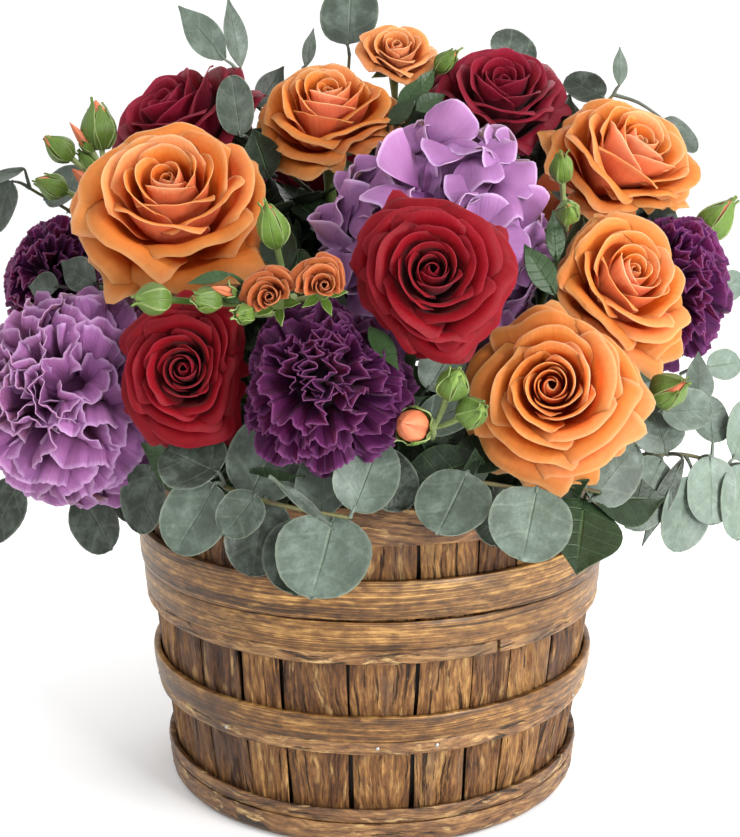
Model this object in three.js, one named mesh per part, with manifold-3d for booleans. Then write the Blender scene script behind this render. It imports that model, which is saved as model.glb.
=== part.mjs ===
// A flower arrangement in a round wooden stave basket, in millimetres, +Z up, front towards -Y.
// The basket stands on z = 0 with its axis on the Z axis. Roses, carnations and a hydrangea stand
// on their stems in a block of floral foam, with small spray roses and eucalyptus between them.
import * as THREE from 'three';
import { mergeVertices } from 'three/addons/utils/BufferGeometryUtils.js';
import Module from 'manifold-3d';

const wasm = await Module();
wasm.setup();

const deg = Math.PI / 180;
const goldenTurn = 137.508 * deg;

// ---- driving dimensions ----

const basket = {
  height: 144.5,
  footRadius: 86.3, // outside of the staves at the foot
  wallSlope: 0.1691, // the wall leans out by this much for each mm of height
  wallBow: 0.0005375, // and bends back upright by this much for each square mm
  staveCount: 26,
  staveThickness: 3.4,
  grooveDepth: 1.8, // dark gap between two staves
  grooveWidth: 1.6,
  hoopGap: 0.95, // from the corners of the staves to the inside of a hoop
  hoopSides: 26,
};

const hoops = {
  rim: { low: 129, high: 145, thickness: 2.0 },
  upper: { low: 86.6, step: 99, high: 116.3, lowerThickness: 2.4, thickness: 3.6 },
  upperBark: { low: 82.4, high: 86.2, thickness: 2.4 },
  middle: { low: 47.6, high: 59, thickness: 2.8 },
  middleBark: { low: 42.8, high: 47.2, thickness: 2.4 },
  bottom: { low: 0, step: 10.8, high: 16.6, lowerThickness: 3.4, thickness: 2.7 },
};

const base = { thickness: 5, gap: 1.0 };
const liner = { floor: 5.35, top: 128, wall: 1.4, gap: 2, sides: 26 };
const foam = { gap: 0.9, shoulder: 88, shoulderZ: 140, crown: 169, sides: 18 };

const bladeThickness = 0.9;
const stemSides = 5;
const holeSides = 4;
const stemGap = 0.35; // clearance of a stem in its hole
const cellGap = 0.95; // from a bloom's petals to the plane it shares with its neighbour
const squeezeSharpness = 8; // how suddenly a crowded head flattens towards such a plane
const calyxGap = 0.35;
const smallLeaf = 18; // a leaf this wide or less has a plainer outline

// Each bloom: middle of its head, radius of the head, and where it faces, as degrees round the
// basket (0 is the front, 90 the right) and degrees above the horizon.
const orangeRoses = [
  { middle: [-71, -63, 250], radius: 37, facing: [-15, 38] },
  { middle: [-18, -12, 286], radius: 32, facing: [3, 60] },
  { middle: [103, -15, 264], radius: 37, facing: [45, 45] },
  { middle: [90, -72, 222], radius: 32, facing: [25, 32] },
  { middle: [66, -107, 189], radius: 34, facing: [-8, 22] },
  { middle: [72, 62, 243], radius: 35, facing: [145, 35] },
];
const redRoses = [
  { middle: [19, -115, 231], radius: 31, facing: [5, 28] },
  { middle: [-67, -107, 197], radius: 27, facing: [-3, 18] },
  { middle: [-76, 5, 277], radius: 33, facing: [-60, 50] },
  { middle: [55, 2, 288], radius: 30, facing: [10, 60] },
  { middle: [-28, 78, 250], radius: 32, facing: [-165, 38] },
];
const lavenderCarnations = [
  { middle: [-124, -62, 178], radius: 43, facing: [-40, 10] },
  { middle: [-98, 52, 205], radius: 42, facing: [-118, 15] },
];
const purpleCarnations = [
  { middle: [-17, -111, 193], radius: 34, facing: [-5, 24] },
  { middle: [-133, -12, 221], radius: 30, facing: [-70, 20] },
  { middle: [122, -31, 214], radius: 35, facing: [58, 20] },
  { middle: [25, 102, 200], radius: 34, facing: [170, 18] },
];
const hydrangea = { middle: [23, -43, 247], radius: 50, facing: [10, 45] };
const smallRoses = {
  top: { middle: [10, 10, 313], radius: 16, facing: [5, 62] },
  centreLeft: { middle: [-35, -121, 230], radius: 11, facing: [-12, 25] },
  centreRight: { middle: [-18.5, -123, 234], radius: 11, facing: [5, 30] },
};

// Petal whorls of a rose, from the heart outwards, in parts of the head's radius: the height of the
// roots on the core, the radius and height of the lip, how far the belly swells, half the petal's
// spread in degrees at its middle and at its lip, and the points in its rows.
const roseWhorls = [
  { root: 0.34, lip: 0.3, height: 0.98, belly: 0.44, spread: [34, 34], rows: [3], turn: 0.2 },
  { root: 0.2, lip: 0.68, height: 0.88, belly: 0.66, spread: [33, 43], rows: [3, 3], turn: 0.75 },
  { root: 0.06, lip: 1.06, height: 0.6, belly: 0.88, spread: [33, 45], rows: [3, 3], turn: 0.3 },
];
const smallRoseWhorls = [
  { root: 0.3, lip: 0.42, height: 1, belly: 0.56, spread: [34, 34], rows: [3], turn: 0.2 },
  { root: 0.08, lip: 1, height: 0.68, belly: 0.84, spread: [31, 31], rows: [3, 3], turn: 0.8 },
];
const petalsInWhorl = 5;
const crowdedReach = 0.8; // a head whose neighbour comes nearer than this has narrower petals
const crowdedSpread = 31;
const overlap = 0.1; // one edge of a petal lies outside its neighbour and the other inside

// Fans of a carnation: how far each whorl leans from the axis, in degrees.
const carnation = { leans: [22, 60, 96], core: 0.6, calyxLength: 20, ruffle: 0.06 };
// Florets of a hydrangea: how far each ring of them leans from the axis, and how far it stands out.
const floretRings = [{ lean: 42, reach: 0.97 }, { lean: 72, reach: 0.91 }, { lean: 103, reach: 0.97 }];
const crownReach = 0.91;
const floret = { sides: 6, core: 0.74, radius: 0.285, notch: 0.5 };

// ---- materials ----

function paint(color, roughness, metalness = 0) {
  return new THREE.MeshStandardMaterial({ color, roughness, metalness });
}

const finish = {
  boards: paint(0x8a5f37, 0.75),
  staves: paint(0x8b5e33, 0.8),
  splint: paint(0xa4703c, 0.55),
  bark: paint(0x7a522e, 0.9),
  liner: paint(0x2c3329, 0.45),
  foam: paint(0x3f6b3a, 0.95),
  orange: paint(0xe8873a, 0.55),
  red: paint(0x9c1420, 0.5),
  lavender: paint(0xa678b8, 0.6),
  purple: paint(0x4a1f63, 0.6),
  lilac: paint(0xb184cf, 0.55),
  coral: paint(0xe58a5c, 0.55),
  stem: paint(0x5c8038, 0.55),
  bud: paint(0x86a04a, 0.5),
  eucalyptus: paint(0x6d8f84, 0.6),
  salal: paint(0x2e4a36, 0.45),
};

// ---- solids and meshes ----

// A closed triangle mesh, wound either way, becomes a solid whose faces point out.
function solidOf(points, triangles) {
  const build = (order) => new wasm.Manifold(new wasm.Mesh({
    numProp: 3,
    vertProperties: new Float32Array(points),
    triVerts: new Uint32Array(order),
  }));
  const solid = build(triangles);
  if (solid.volume() > 0) {
    return solid;
  }
  const turned = [];
  for (let i = 0; i < triangles.length; i += 3) {
    turned.push(triangles[i], triangles[i + 2], triangles[i + 1]);
  }
  return build(turned);
}

function solidOfGeometry(geometry) {
  const bare = geometry.clone();
  bare.deleteAttribute('normal');
  bare.deleteAttribute('uv');
  const merged = mergeVertices(bare, 1e-4);
  const index = merged.index.array;
  const kept = [];
  for (let i = 0; i < index.length; i += 3) {
    const [a, b, c] = [index[i], index[i + 1], index[i + 2]];
    if (a !== b && b !== c && c !== a) {
      kept.push(a, b, c);
    }
  }
  return solidOf(Array.from(merged.attributes.position.array), kept);
}

// Joins solids. A loose scrap, or the wall of a hollow that the joint closed, is left out.
function join(solids) {
  const whole = solids.reduce((sum, solid) => sum.add(solid));
  const pieces = whole.decompose();
  return pieces.reduce((best, piece) => (piece.volume() > best.volume() ? piece : best));
}

const group = new THREE.Group();

function addNode(name, solid, material) {
  const data = solid.getMesh();
  const geometry = new THREE.BufferGeometry();
  geometry.setAttribute('position', new THREE.BufferAttribute(new Float32Array(data.vertProperties), 3));
  geometry.setIndex(new THREE.BufferAttribute(new Uint32Array(data.triVerts), 1));
  geometry.computeVertexNormals();
  const mesh = new THREE.Mesh(geometry, material);
  mesh.name = name;
  group.add(mesh);
}

// ---- blades, tubes and turned shapes ----

// Triangles between two rows of points, each step taken on the row that lags behind.
function zip(first, firstCount, second, secondCount) {
  const triangles = [];
  let i = 0;
  let j = 0;
  while (i < firstCount - 1 || j < secondCount - 1) {
    const nextI = firstCount > 1 ? (i + 1) / (firstCount - 1) : 2;
    const nextJ = secondCount > 1 ? (j + 1) / (secondCount - 1) : 2;
    if (nextJ <= nextI) {
      triangles.push([first + i, second + j + 1, second + j]);
      j += 1;
    } else {
      triangles.push([first + i, first + i + 1, second + j]);
      i += 1;
    }
  }
  return triangles;
}

// A thin blade through rows of points, root row first, with the same triangles on both faces.
function blade(rows, thickness = bladeThickness) {
  const points = rows.flat();
  const starts = [];
  let total = 0;
  for (const row of rows) {
    starts.push(total);
    total += row.length;
  }
  const faces = [];
  for (let k = 0; k + 1 < rows.length; k += 1) {
    faces.push(...zip(starts[k], rows[k].length, starts[k + 1], rows[k + 1].length));
  }
  const normals = points.map(() => new THREE.Vector3());
  for (const [a, b, c] of faces) {
    const ab = points[b].clone().sub(points[a]);
    const normal = ab.cross(points[c].clone().sub(points[a]));
    [a, b, c].forEach((k) => normals[k].add(normal));
  }
  const upper = [];
  const lower = [];
  points.forEach((point, k) => {
    normals[k].setLength(thickness / 2);
    upper.push(...point.clone().add(normals[k]).toArray());
    lower.push(...point.clone().sub(normals[k]).toArray());
  });
  const last = rows.length - 1;
  const leftSide = rows.map((row, k) => starts[k]);
  const rightSide = rows.map((row, k) => starts[k] + row.length - 1).reverse();
  const rootRow = rows[0].map((point, k) => starts[0] + k).slice(1, -1).reverse();
  const tipRow = rows[last].map((point, k) => starts[last] + k).slice(1, -1);
  const outline = [...leftSide, ...tipRow, ...rightSide, ...rootRow].filter((k, i, all) => all[i - 1] !== k);
  if (outline[0] === outline[outline.length - 1]) {
    outline.pop();
  }
  const triangles = [];
  for (const [a, b, c] of faces) {
    triangles.push(a, b, c, total + a, total + c, total + b);
  }
  outline.forEach((a, i) => {
    const b = outline[(i + 1) % outline.length];
    triangles.push(a, b, total + b, a, total + b, total + a);
  });
  return solidOf([...upper, ...lower], triangles);
}

// Rings of points round a path, one for each of its points.
function pathRings(path, radii, sides) {
  const around = new THREE.Vector3(0.31, 0.52, 0.79);
  return path.map((point, k) => {
    const before = path[Math.max(k - 1, 0)];
    const after = path[Math.min(k + 1, path.length - 1)];
    const along = after.clone().sub(point).normalize().add(point.clone().sub(before).normalize()).normalize();
    const side = along.clone().cross(around).normalize();
    const other = along.clone().cross(side);
    const radius = Array.isArray(radii) ? radii[k] : radii;
    return Array.from({ length: sides }, (empty, s) => {
      const angle = (s / sides) * 2 * Math.PI;
      const corner = point.clone().addScaledVector(side, radius * Math.cos(angle));
      return corner.addScaledVector(other, radius * Math.sin(angle));
    });
  });
}

// A closed body through rings of the same number of points, with flat ends. A band between two
// rings may carry petals instead of its plain sides: grow[band](side) gives the petal's rows of
// points beyond its root, each row as its lower and upper points from left to right.
function grownBody(rings, grow = {}) {
  const sides = rings[0].length;
  const points = rings.flat();
  const triangles = [];
  const add = (list) => {
    const start = points.length;
    points.push(...list);
    return start;
  };
  for (let k = 0; k + 1 < rings.length; k += 1) {
    for (let s = 0; s < sides; s += 1) {
      const t = (s + 1) % sides;
      const [a, b, c, d] = [k * sides + s, k * sides + t, (k + 1) * sides + t, (k + 1) * sides + s];
      if (grow[k]) {
        const rows = grow[k](s);
        const lower = [[a, b], ...rows.map((row) => indexed(add(row.lower), row.lower.length))];
        const upper = [[d, c], ...rows.map((row) => indexed(add(row.upper), row.upper.length))];
        triangles.push(...petalFaces(lower, upper));
      } else {
        triangles.push(a, b, c, a, c, d);
      }
    }
  }
  const end = (rings.length - 1) * sides;
  for (let s = 1; s + 1 < sides; s += 1) {
    triangles.push(0, s + 1, s, end, end + s, end + s + 1);
  }
  return solidOf(points.flatMap((point) => point.toArray()), triangles);
}

function indexed(start, count) {
  return Array.from({ length: count }, (empty, k) => start + k);
}

// Both faces and the rim of a petal, from rows of point numbers, with its root left open.
function petalFaces(lower, upper) {
  const triangles = [];
  for (let k = 0; k + 1 < lower.length; k += 1) {
    const [row, next] = [lower[k].length, lower[k + 1].length];
    for (const face of zip(0, row, row, next)) {
      const [a, b, c] = face;
      const pick = (rows, i) => (i < row ? rows[k][i] : rows[k + 1][i - row]);
      triangles.push(pick(lower, a), pick(lower, b), pick(lower, c));
      triangles.push(pick(upper, a), pick(upper, c), pick(upper, b));
    }
    const [l, u, l2, u2] = [lower[k][0], upper[k][0], lower[k + 1][0], upper[k + 1][0]];
    triangles.push(u, l, l2, u, l2, u2);
    const [r, v, r2, v2] = [lower[k].at(-1), upper[k].at(-1), lower[k + 1].at(-1), upper[k + 1].at(-1)];
    triangles.push(r, v, v2, r, v2, r2);
  }
  const [low, high] = [lower.at(-1), upper.at(-1)];
  for (let j = 0; j + 1 < low.length; j += 1) {
    triangles.push(low[j], low[j + 1], high[j + 1], low[j], high[j + 1], high[j]);
  }
  return triangles;
}

// A tube of flat sides through points, with a radius for each point or one for all.
function tube(points, radii, sides = stemSides) {
  return grownBody(pathRings(points.map((point) => new THREE.Vector3(...point)), radii, sides));
}

// A profile of [radius, height] points turned round the Z axis.
function turned(profile, sides) {
  const points = profile.map(([radius, height]) => new THREE.Vector2(radius, height));
  const geometry = new THREE.LatheGeometry(points, sides);
  geometry.rotateX(Math.PI / 2);
  return solidOfGeometry(geometry);
}

function turnedRing(profile, sides) {
  return turned([...profile, profile[0]], sides);
}

// ---- basket ----

function wallRadius(z) {
  return basket.footRadius + basket.wallSlope * z - basket.wallBow * z * z;
}

// Stave widths differ a little, in a fixed rhythm.
function staveEdges() {
  const widths = [];
  for (let k = 0; k < basket.staveCount; k += 1) {
    widths.push(1 + 0.16 * Math.sin(k * 2.3) + 0.08 * Math.sin(k * 5.1));
  }
  const sum = widths.reduce((a, b) => a + b, 0);
  const edges = [-7 * deg];
  widths.forEach((width) => edges.push(edges[edges.length - 1] + (width / sum) * 2 * Math.PI));
  return edges;
}

// Staves fused side by side: a ring with a groove where two staves meet.
function makeStaves() {
  const edges = staveEdges().slice(0, -1);
  const half = basket.grooveWidth / 2 / wallRadius(basket.height / 2);
  const columns = [];
  edges.forEach((edge) => {
    columns.push([edge - half, 0], [edge, basket.grooveDepth], [edge + half, 0]);
  });
  const inner = edges.map((edge) => [edge, basket.staveThickness]);
  const rings = [
    ...[0, 52, 104, basket.height].map((z) => ({ z, columns })),
    ...[basket.height, 70, 0].map((z) => ({ z, columns: inner })),
  ];
  const coords = [];
  const starts = [];
  for (const { z, columns: ring } of rings) {
    starts.push(coords.length / 3);
    for (const [angle, depth] of ring) {
      const radius = wallRadius(z) - depth;
      coords.push(radius * Math.sin(angle), -radius * Math.cos(angle), z);
    }
  }
  const triangles = [];
  rings.forEach((ring, r) => {
    const next = (r + 1) % rings.length;
    const [count, nextCount] = [ring.columns.length, rings[next].columns.length];
    const onRing = (k) => (k <= count
      ? starts[r] + (k % count)
      : starts[next] + ((k - count - 1) % nextCount));
    zip(0, count + 1, count + 1, nextCount + 1).forEach((face) => triangles.push(...face.map(onRing)));
  });
  return solidOf(coords, triangles);
}

// A plain hoop that follows the wall between two heights.
function makeHoop(hoop) {
  const inside = (z) => wallRadius(z) + basket.hoopGap;
  return turnedRing([
    [inside(hoop.low), hoop.low],
    [inside(hoop.low) + hoop.thickness, hoop.low],
    [inside(hoop.high) + hoop.thickness, hoop.high],
    [inside(hoop.high), hoop.high],
  ], basket.hoopSides);
}

// A hoop of two strips, one above the other, with a step between them.
function makeSteppedHoop(hoop) {
  const inside = (z) => wallRadius(z) + basket.hoopGap;
  return turnedRing([
    [inside(hoop.low), hoop.low],
    [inside(hoop.low) + hoop.lowerThickness, hoop.low],
    [inside(hoop.step) + hoop.lowerThickness, hoop.step],
    [inside(hoop.step) + hoop.thickness, hoop.step + 0.4],
    [inside(hoop.high) + hoop.thickness, hoop.high],
    [inside(hoop.high), hoop.high],
  ], basket.hoopSides);
}

function makeBase() {
  const radius = wallRadius(0) - basket.staveThickness - base.gap;
  return turned([[0, 0], [radius, 0], [radius, base.thickness], [0, base.thickness]], basket.hoopSides);
}

function linerRadius(z) {
  return wallRadius(z) - basket.staveThickness - liner.gap;
}

function makeLiner() {
  const middle = (liner.floor + liner.top) / 2;
  const inner = (z) => linerRadius(z) - liner.wall;
  return turned([
    [0, liner.floor],
    [linerRadius(liner.floor), liner.floor],
    [linerRadius(middle), middle],
    [linerRadius(liner.top), liner.top],
    [inner(liner.top), liner.top],
    [inner(middle), middle],
    [inner(liner.floor), liner.floor + liner.wall],
    [0, liner.floor + liner.wall],
  ], liner.sides);
}

const foamDome = [[foam.shoulder, foam.shoulderZ], [71, 157], [42, 166], [0, foam.crown]];

function foamTop(radius) {
  for (let k = 0; k + 1 < foamDome.length; k += 1) {
    const [r0, z0] = foamDome[k];
    const [r1, z1] = foamDome[k + 1];
    if (radius >= r1) {
      return z0 + ((r0 - radius) / (r0 - r1)) * (z1 - z0);
    }
  }
  return foam.crown;
}

function makeFoam(holes) {
  const radius = (z) => linerRadius(z) - liner.wall - foam.gap;
  const low = liner.floor + liner.wall + 0.4;
  const block = turned([
    [0, low],
    [radius(low), low],
    [radius(70), 70],
    [radius(liner.top), liner.top],
    ...foamDome,
  ], foam.sides);
  return holes.reduce((rest, hole) => rest.subtract(hole), block);
}

// ---- heads: places, cells and petals ----

function facingVector([around, above]) {
  const [turn, rise] = [around * deg, above * deg];
  return new THREE.Vector3(Math.sin(turn) * Math.cos(rise), -Math.cos(turn) * Math.cos(rise), Math.sin(rise));
}

// A head's own axes: z where it faces, x to the right and y up as seen from the front of the head.
function frameOf(head) {
  const z = facingVector(head.facing);
  const x = new THREE.Vector3(0, 0, 1).cross(z).normalize();
  const y = z.clone().cross(x);
  const middle = new THREE.Vector3(...head.middle);
  const root = middle.clone().addScaledVector(z, -0.5 * head.radius);
  return { x, y, z, middle, root };
}

const allHeads = [
  ...orangeRoses, ...redRoses, ...lavenderCarnations, ...purpleCarnations,
  hydrangea, ...Object.values(smallRoses),
];

// Two heads that crowd each other share a plane between them, nearer to the smaller one.
function cellPlanes(head, loose = []) {
  const middle = new THREE.Vector3(...head.middle);
  const planes = [];
  for (const other of allHeads) {
    if (other === head || loose.includes(other)) {
      continue;
    }
    const away = new THREE.Vector3(...other.middle).sub(middle);
    const gap = away.length();
    if (gap < head.radius + other.radius) {
      const reach = (gap * gap + head.radius ** 2 - other.radius ** 2) / (2 * gap);
      planes.push({ normal: away.divideScalar(gap), reach: reach - cellGap });
    }
  }
  return planes;
}

// Draws a point of a head towards the middle of the head, so that all of it stays in its cell.
function intoCell(point, head, planes) {
  const middle = new THREE.Vector3(...head.middle);
  const out = point.clone().sub(middle);
  const length = Math.max(out.length(), 1e-6);
  let crowding = 1;
  for (const { normal, reach } of planes) {
    const lean = Math.max(out.dot(normal) / length, 0);
    crowding += ((lean * head.radius * 1.06) / reach) ** squeezeSharpness;
  }
  return middle.addScaledVector(out, crowding ** (-1 / squeezeSharpness));
}

function headPlacer(head, loose) {
  const axes = frameOf(head);
  const planes = cellPlanes(head, loose);
  return (x, y, z) => {
    const point = axes.root.clone();
    point.addScaledVector(axes.x, x).addScaledVector(axes.y, y).addScaledVector(axes.z, z);
    return intoCell(point, head, planes);
  };
}

// Point of a rose petal: u from -1 to 1 across it, v from 0 at the root to 1 at the lip.
// Seen from the side the petal is a curve that swells to its belly and then leans to its lip.
function petalPoint(whorl, turn, u, v) {
  const lipV = v * (1 - 0.16 * u * u);
  const w = 1 - lipV;
  const [b1, b2, b3] = [3 * w * w * lipV, 3 * w * lipV * lipV, lipV ** 3];
  const out = w ** 3 * 0.2 + b1 * whorl.belly * 0.9 + b2 * whorl.belly + b3 * whorl.lip;
  const up = whorl.root + (b1 * 0.05 + b2 * 0.75 + b3) * (whorl.height - whorl.root);
  const across = out * (1 + overlap * u);
  const [middle, lip] = whorl.spread;
  const spread = middle + (lip - middle) * Math.max(0, 2 * v - 1);
  const angle = turn + u * spread * deg;
  return new THREE.Vector3(across * Math.sin(angle), -across * Math.cos(angle), up);
}

// Lower and upper points of a thin sheet, half the thickness to each side of a surface.
function sheetRow(surface, us, v, half) {
  const step = 0.01;
  const row = { lower: [], upper: [] };
  us.forEach((u, i) => {
    const point = surface(u, v, i);
    const across = surface(u + step, v, i).sub(surface(u - step, v, i));
    const along = surface(u, v + step, i).sub(surface(u, v - step, i));
    const normal = across.cross(along).setLength(half);
    row.lower.push(point.clone().add(normal));
    row.upper.push(point.clone().sub(normal));
  });
  return row;
}

// A rose: a bud-shaped core of five sides, and on each band of it a whorl of five petals.
function makeRose(head, whorls, loose) {
  const toHead = headPlacer(head, loose);
  const crowded = cellPlanes(head, loose).some((plane) => plane.reach < crowdedReach * head.radius);
  const widest = crowded ? crowdedSpread : 90;
  const r = head.radius;
  const place = (point) => toHead(point.x * r, point.y * r, point.z * r);
  const half = bladeThickness / 2 / r;
  const start = head.middle[0] * 0.1; // roses are turned differently on their stems
  const outwards = [...whorls].reverse();
  const rings = [ringOf(0.13, 0, outwards[0].turn + start)];
  const grow = {};
  outwards.forEach((whorl) => {
    const turn = whorl.turn + start;
    grow[rings.length] = (side) => {
      const middle = turn + ((side + 0.5) / petalsInWhorl) * 2 * Math.PI;
      const petal = { ...whorl, spread: whorl.spread.map((angle) => Math.min(angle, widest)) };
      return whorl.rows.map((count, k) => {
        const v = (k + 1) / whorl.rows.length;
        const row = sheetRow((u, w) => petalPoint(petal, middle, u, w), spaced(count), v, half);
        return { lower: row.lower.map(place), upper: row.upper.map(place) };
      });
    };
    rings.push(ringOf(0.22, whorl.root, turn), ringOf(0.22, whorl.root + 2.6 * half, turn));
  });
  rings.push(ringOf(0.1, 0.9, outwards.at(-1).turn + start));
  return grownBody(rings.map((ring) => ring.map(place)), grow);
}

function ringOf(radius, z, turn, sides = petalsInWhorl) {
  return Array.from({ length: sides }, (empty, s) => {
    const angle = turn + (s / sides) * 2 * Math.PI;
    return new THREE.Vector3(radius * Math.sin(angle), -radius * Math.cos(angle), z);
  });
}

// Evenly spaced numbers from -1 to 1.
function spaced(count) {
  return Array.from({ length: count }, (empty, k) => (count === 1 ? 0 : (2 * k) / (count - 1) - 1));
}

// A carnation: whorls of fans with zigzag lips that stand all over a low dome.
function makeCarnation(head, sides) {
  const toHead = headPlacer(head);
  const r = head.radius;
  const place = (point) => toHead(point.x * r, point.y * r, point.z * r);
  const half = bladeThickness / 2 / r;
  const { core } = carnation;
  const rings = [ringOf(0.14, 0, 0, sides)];
  const grow = {};
  [...carnation.leans].reverse().forEach((lean, k) => {
    const turn = (k % 2) * (Math.PI / sides);
    const [flat, up] = [Math.sin(lean * deg), Math.cos(lean * deg)];
    const [x, z] = [core * flat, 0.42 + core * up];
    grow[rings.length] = (side) => {
      const middle = turn + ((side + 0.5) / sides) * 2 * Math.PI;
      const fan = (u, v, i) => fanPoint({ lean, sides, middle }, u, v, i);
      const row = sheetRow(fan, spaced(5), 1, half);
      return [{ lower: row.lower.map(place), upper: row.upper.map(place) }];
    };
    const rise = 1.3 * half;
    rings.push(ringOf(x + up * rise, z - flat * rise, turn, sides));
    rings.push(ringOf(x - up * rise, z + flat * rise, turn, sides));
  });
  rings.push(ringOf(0.08, 0.42 + core, 0, sides));
  return grownBody(rings.map((ring) => ring.map(place)), grow);
}

// A flat fan across the radius: its lip is a zigzag, and it waves out of its plane.
function fanPoint({ lean, sides, middle }, u, v, i) {
  const [flat, up] = [Math.sin(lean * deg), Math.cos(lean * deg)];
  const reach = carnation.core + (0.99 - carnation.core) * v - (i % 2 ? 0.1 : 0) * v - 0.05 * u * u;
  const width = (Math.PI / sides) * flat * reach * 0.9;
  const wave = carnation.ruffle * flat * (i % 2 ? 1 : -1) * v;
  const out = flat * reach + wave * up;
  const side = u * width;
  const x = out * Math.sin(middle) + side * Math.cos(middle);
  const y = -out * Math.cos(middle) + side * Math.sin(middle);
  return new THREE.Vector3(x, y, 0.42 + up * reach - wave * flat);
}

// A hydrangea: a dome covered with four-lobed florets, larger than life.
function makeHydrangea(head) {
  const toHead = headPlacer(head);
  const r = head.radius;
  const place = (point) => toHead(point.x * r, point.y * r, point.z * r);
  const { core, sides } = floret;
  const rings = [ringOf(0.16, 0, 0, sides)];
  const grow = {};
  [...floretRings].reverse().forEach(({ lean, reach }, k) => {
    const turn = (k % 2) * (Math.PI / sides);
    grow[rings.length] = (side) => {
      const middle = turn + ((side + 0.5) / sides) * 2 * Math.PI;
      return floretRows(lean, middle, reach, r).map((row) => row.map(place));
    };
    for (const edge of [-8, 8]) {
      const angle = (lean - edge) * deg;
      rings.push(ringOf(core * Math.sin(angle), 0.42 + core * Math.cos(angle), turn, sides));
    }
  });
  const crown = floretRows(0, 0, crownReach, r).map((row) => row.map(place));
  return crownedBody(rings.map((ring) => ring.map(place)), grow, crown);
}

// Lower outline, upper outline and middle of a floret that looks out from the dome.
function floretRows(lean, middle, reach, r) {
  const [flat, up] = [Math.sin(lean * deg), Math.cos(lean * deg)];
  const at = (out, side, over) => new THREE.Vector3(
    (out * flat - over * up) * Math.sin(middle) + side * Math.cos(middle),
    -(out * flat - over * up) * Math.cos(middle) + side * Math.sin(middle),
    0.42 + out * up + over * flat,
  );
  const outline = (lift) => {
    const points = [];
    for (let lobe = 0; lobe < 4; lobe += 1) {
      for (const [offset, size] of [[-45, floret.notch], [-25, 1], [25, 1]]) {
        const angle = (lobe * 90 - 90 + offset) * deg;
        const [side, over] = [Math.cos(angle), Math.sin(angle)].map((c) => c * size * floret.radius);
        points.push(at(reach + lift - 0.03 * size, side, over));
      }
    }
    return points;
  };
  const thick = bladeThickness / r;
  return [outline(0), outline(thick), [at(reach - 0.05 + thick, 0, 0)]];
}

// A body through rings whose marked bands carry florets, with one more floret on its top.
function crownedBody(rings, grow, crown) {
  const sides = rings[0].length;
  const points = rings.flat();
  const triangles = [];
  const addFloret = (corners, [lower, upper, middle]) => {
    const count = lower.length;
    const low = points.length;
    const [high, centre] = [low + count, low + 2 * count];
    points.push(...lower, ...upper, ...middle);
    corners.forEach((corner, c) => {
      const nextCorner = corners[(c + 1) % corners.length];
      const run = count / corners.length;
      const edge = Array.from({ length: run + 1 }, (empty, k) => low + ((c * run + k) % count));
      for (const face of zip(0, 2, 2, run + 1)) {
        triangles.push(...face.map((i) => (i < 2 ? [corner, nextCorner][i] : edge[i - 2])));
      }
    });
    for (let i = 0; i < count; i += 1) {
      const j = (i + 1) % count;
      triangles.push(low + i, low + j, high + j, low + i, high + j, high + i, high + i, high + j, centre);
    }
  };
  for (let k = 0; k + 1 < rings.length; k += 1) {
    for (let s = 0; s < sides; s += 1) {
      const t = (s + 1) % sides;
      const quad = [k * sides + s, k * sides + t, (k + 1) * sides + t, (k + 1) * sides + s];
      if (grow[k]) {
        addFloret(quad, grow[k](s));
      } else {
        triangles.push(quad[0], quad[1], quad[2], quad[0], quad[2], quad[3]);
      }
    }
  }
  for (let s = 1; s + 1 < sides; s += 1) {
    triangles.push(0, s + 1, s);
  }
  const top = (rings.length - 1) * sides;
  addFloret([0, 1, 3, 4].map((s) => top + s), crown);
  triangles.push(top + 1, top + 2, top + 3, top + 4, top + 5, top);
  return solidOf(points.flatMap((point) => point.toArray()), triangles);
}

// ---- stems ----

const holes = [];

// The straight way of a stem in the foam: where it goes in, and its cut end.
function foamEntry(x, y, depth = 34) {
  const top = new THREE.Vector3(x, y, foamTop(Math.hypot(x, y)));
  const aim = new THREE.Vector3(0.72 * x, 0.72 * y, 60).sub(top).normalize();
  return { top, aim, end: top.clone().addScaledVector(aim, depth) };
}

function drillHole(top, aim, end, radius) {
  const clear = (radius + stemGap) / Math.cos(Math.PI / holeSides);
  const from = top.clone().addScaledVector(aim, -9);
  const to = end.clone().addScaledVector(aim, 0.5);
  holes.push(tube([from.toArray(), to.toArray()], clear, holeSides));
}

// A bloom's foot on its stem goes towards the axis of the basket and down into the foam.
function stemRoute(head, reach = 0.58) {
  const axes = frameOf(head);
  const foot = axes.root.clone();
  const flat = Math.hypot(foot.x, foot.y);
  const inward = Math.min(66, reach * flat) / flat;
  const entry = foamEntry(foot.x * inward, foot.y * inward);
  return { axes, entry };
}

// A stem from the foot of a head down into the foam.
function stemTube({ axes, entry }, radius) {
  const [neck, bend] = [calyxGap, 10].map((depth) => axes.root.clone().addScaledVector(axes.z, -depth));
  const above = entry.top.clone().addScaledVector(entry.aim, -8);
  return grownBody(pathRings([neck, bend, above, entry.end], radius, stemSides));
}

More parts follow.
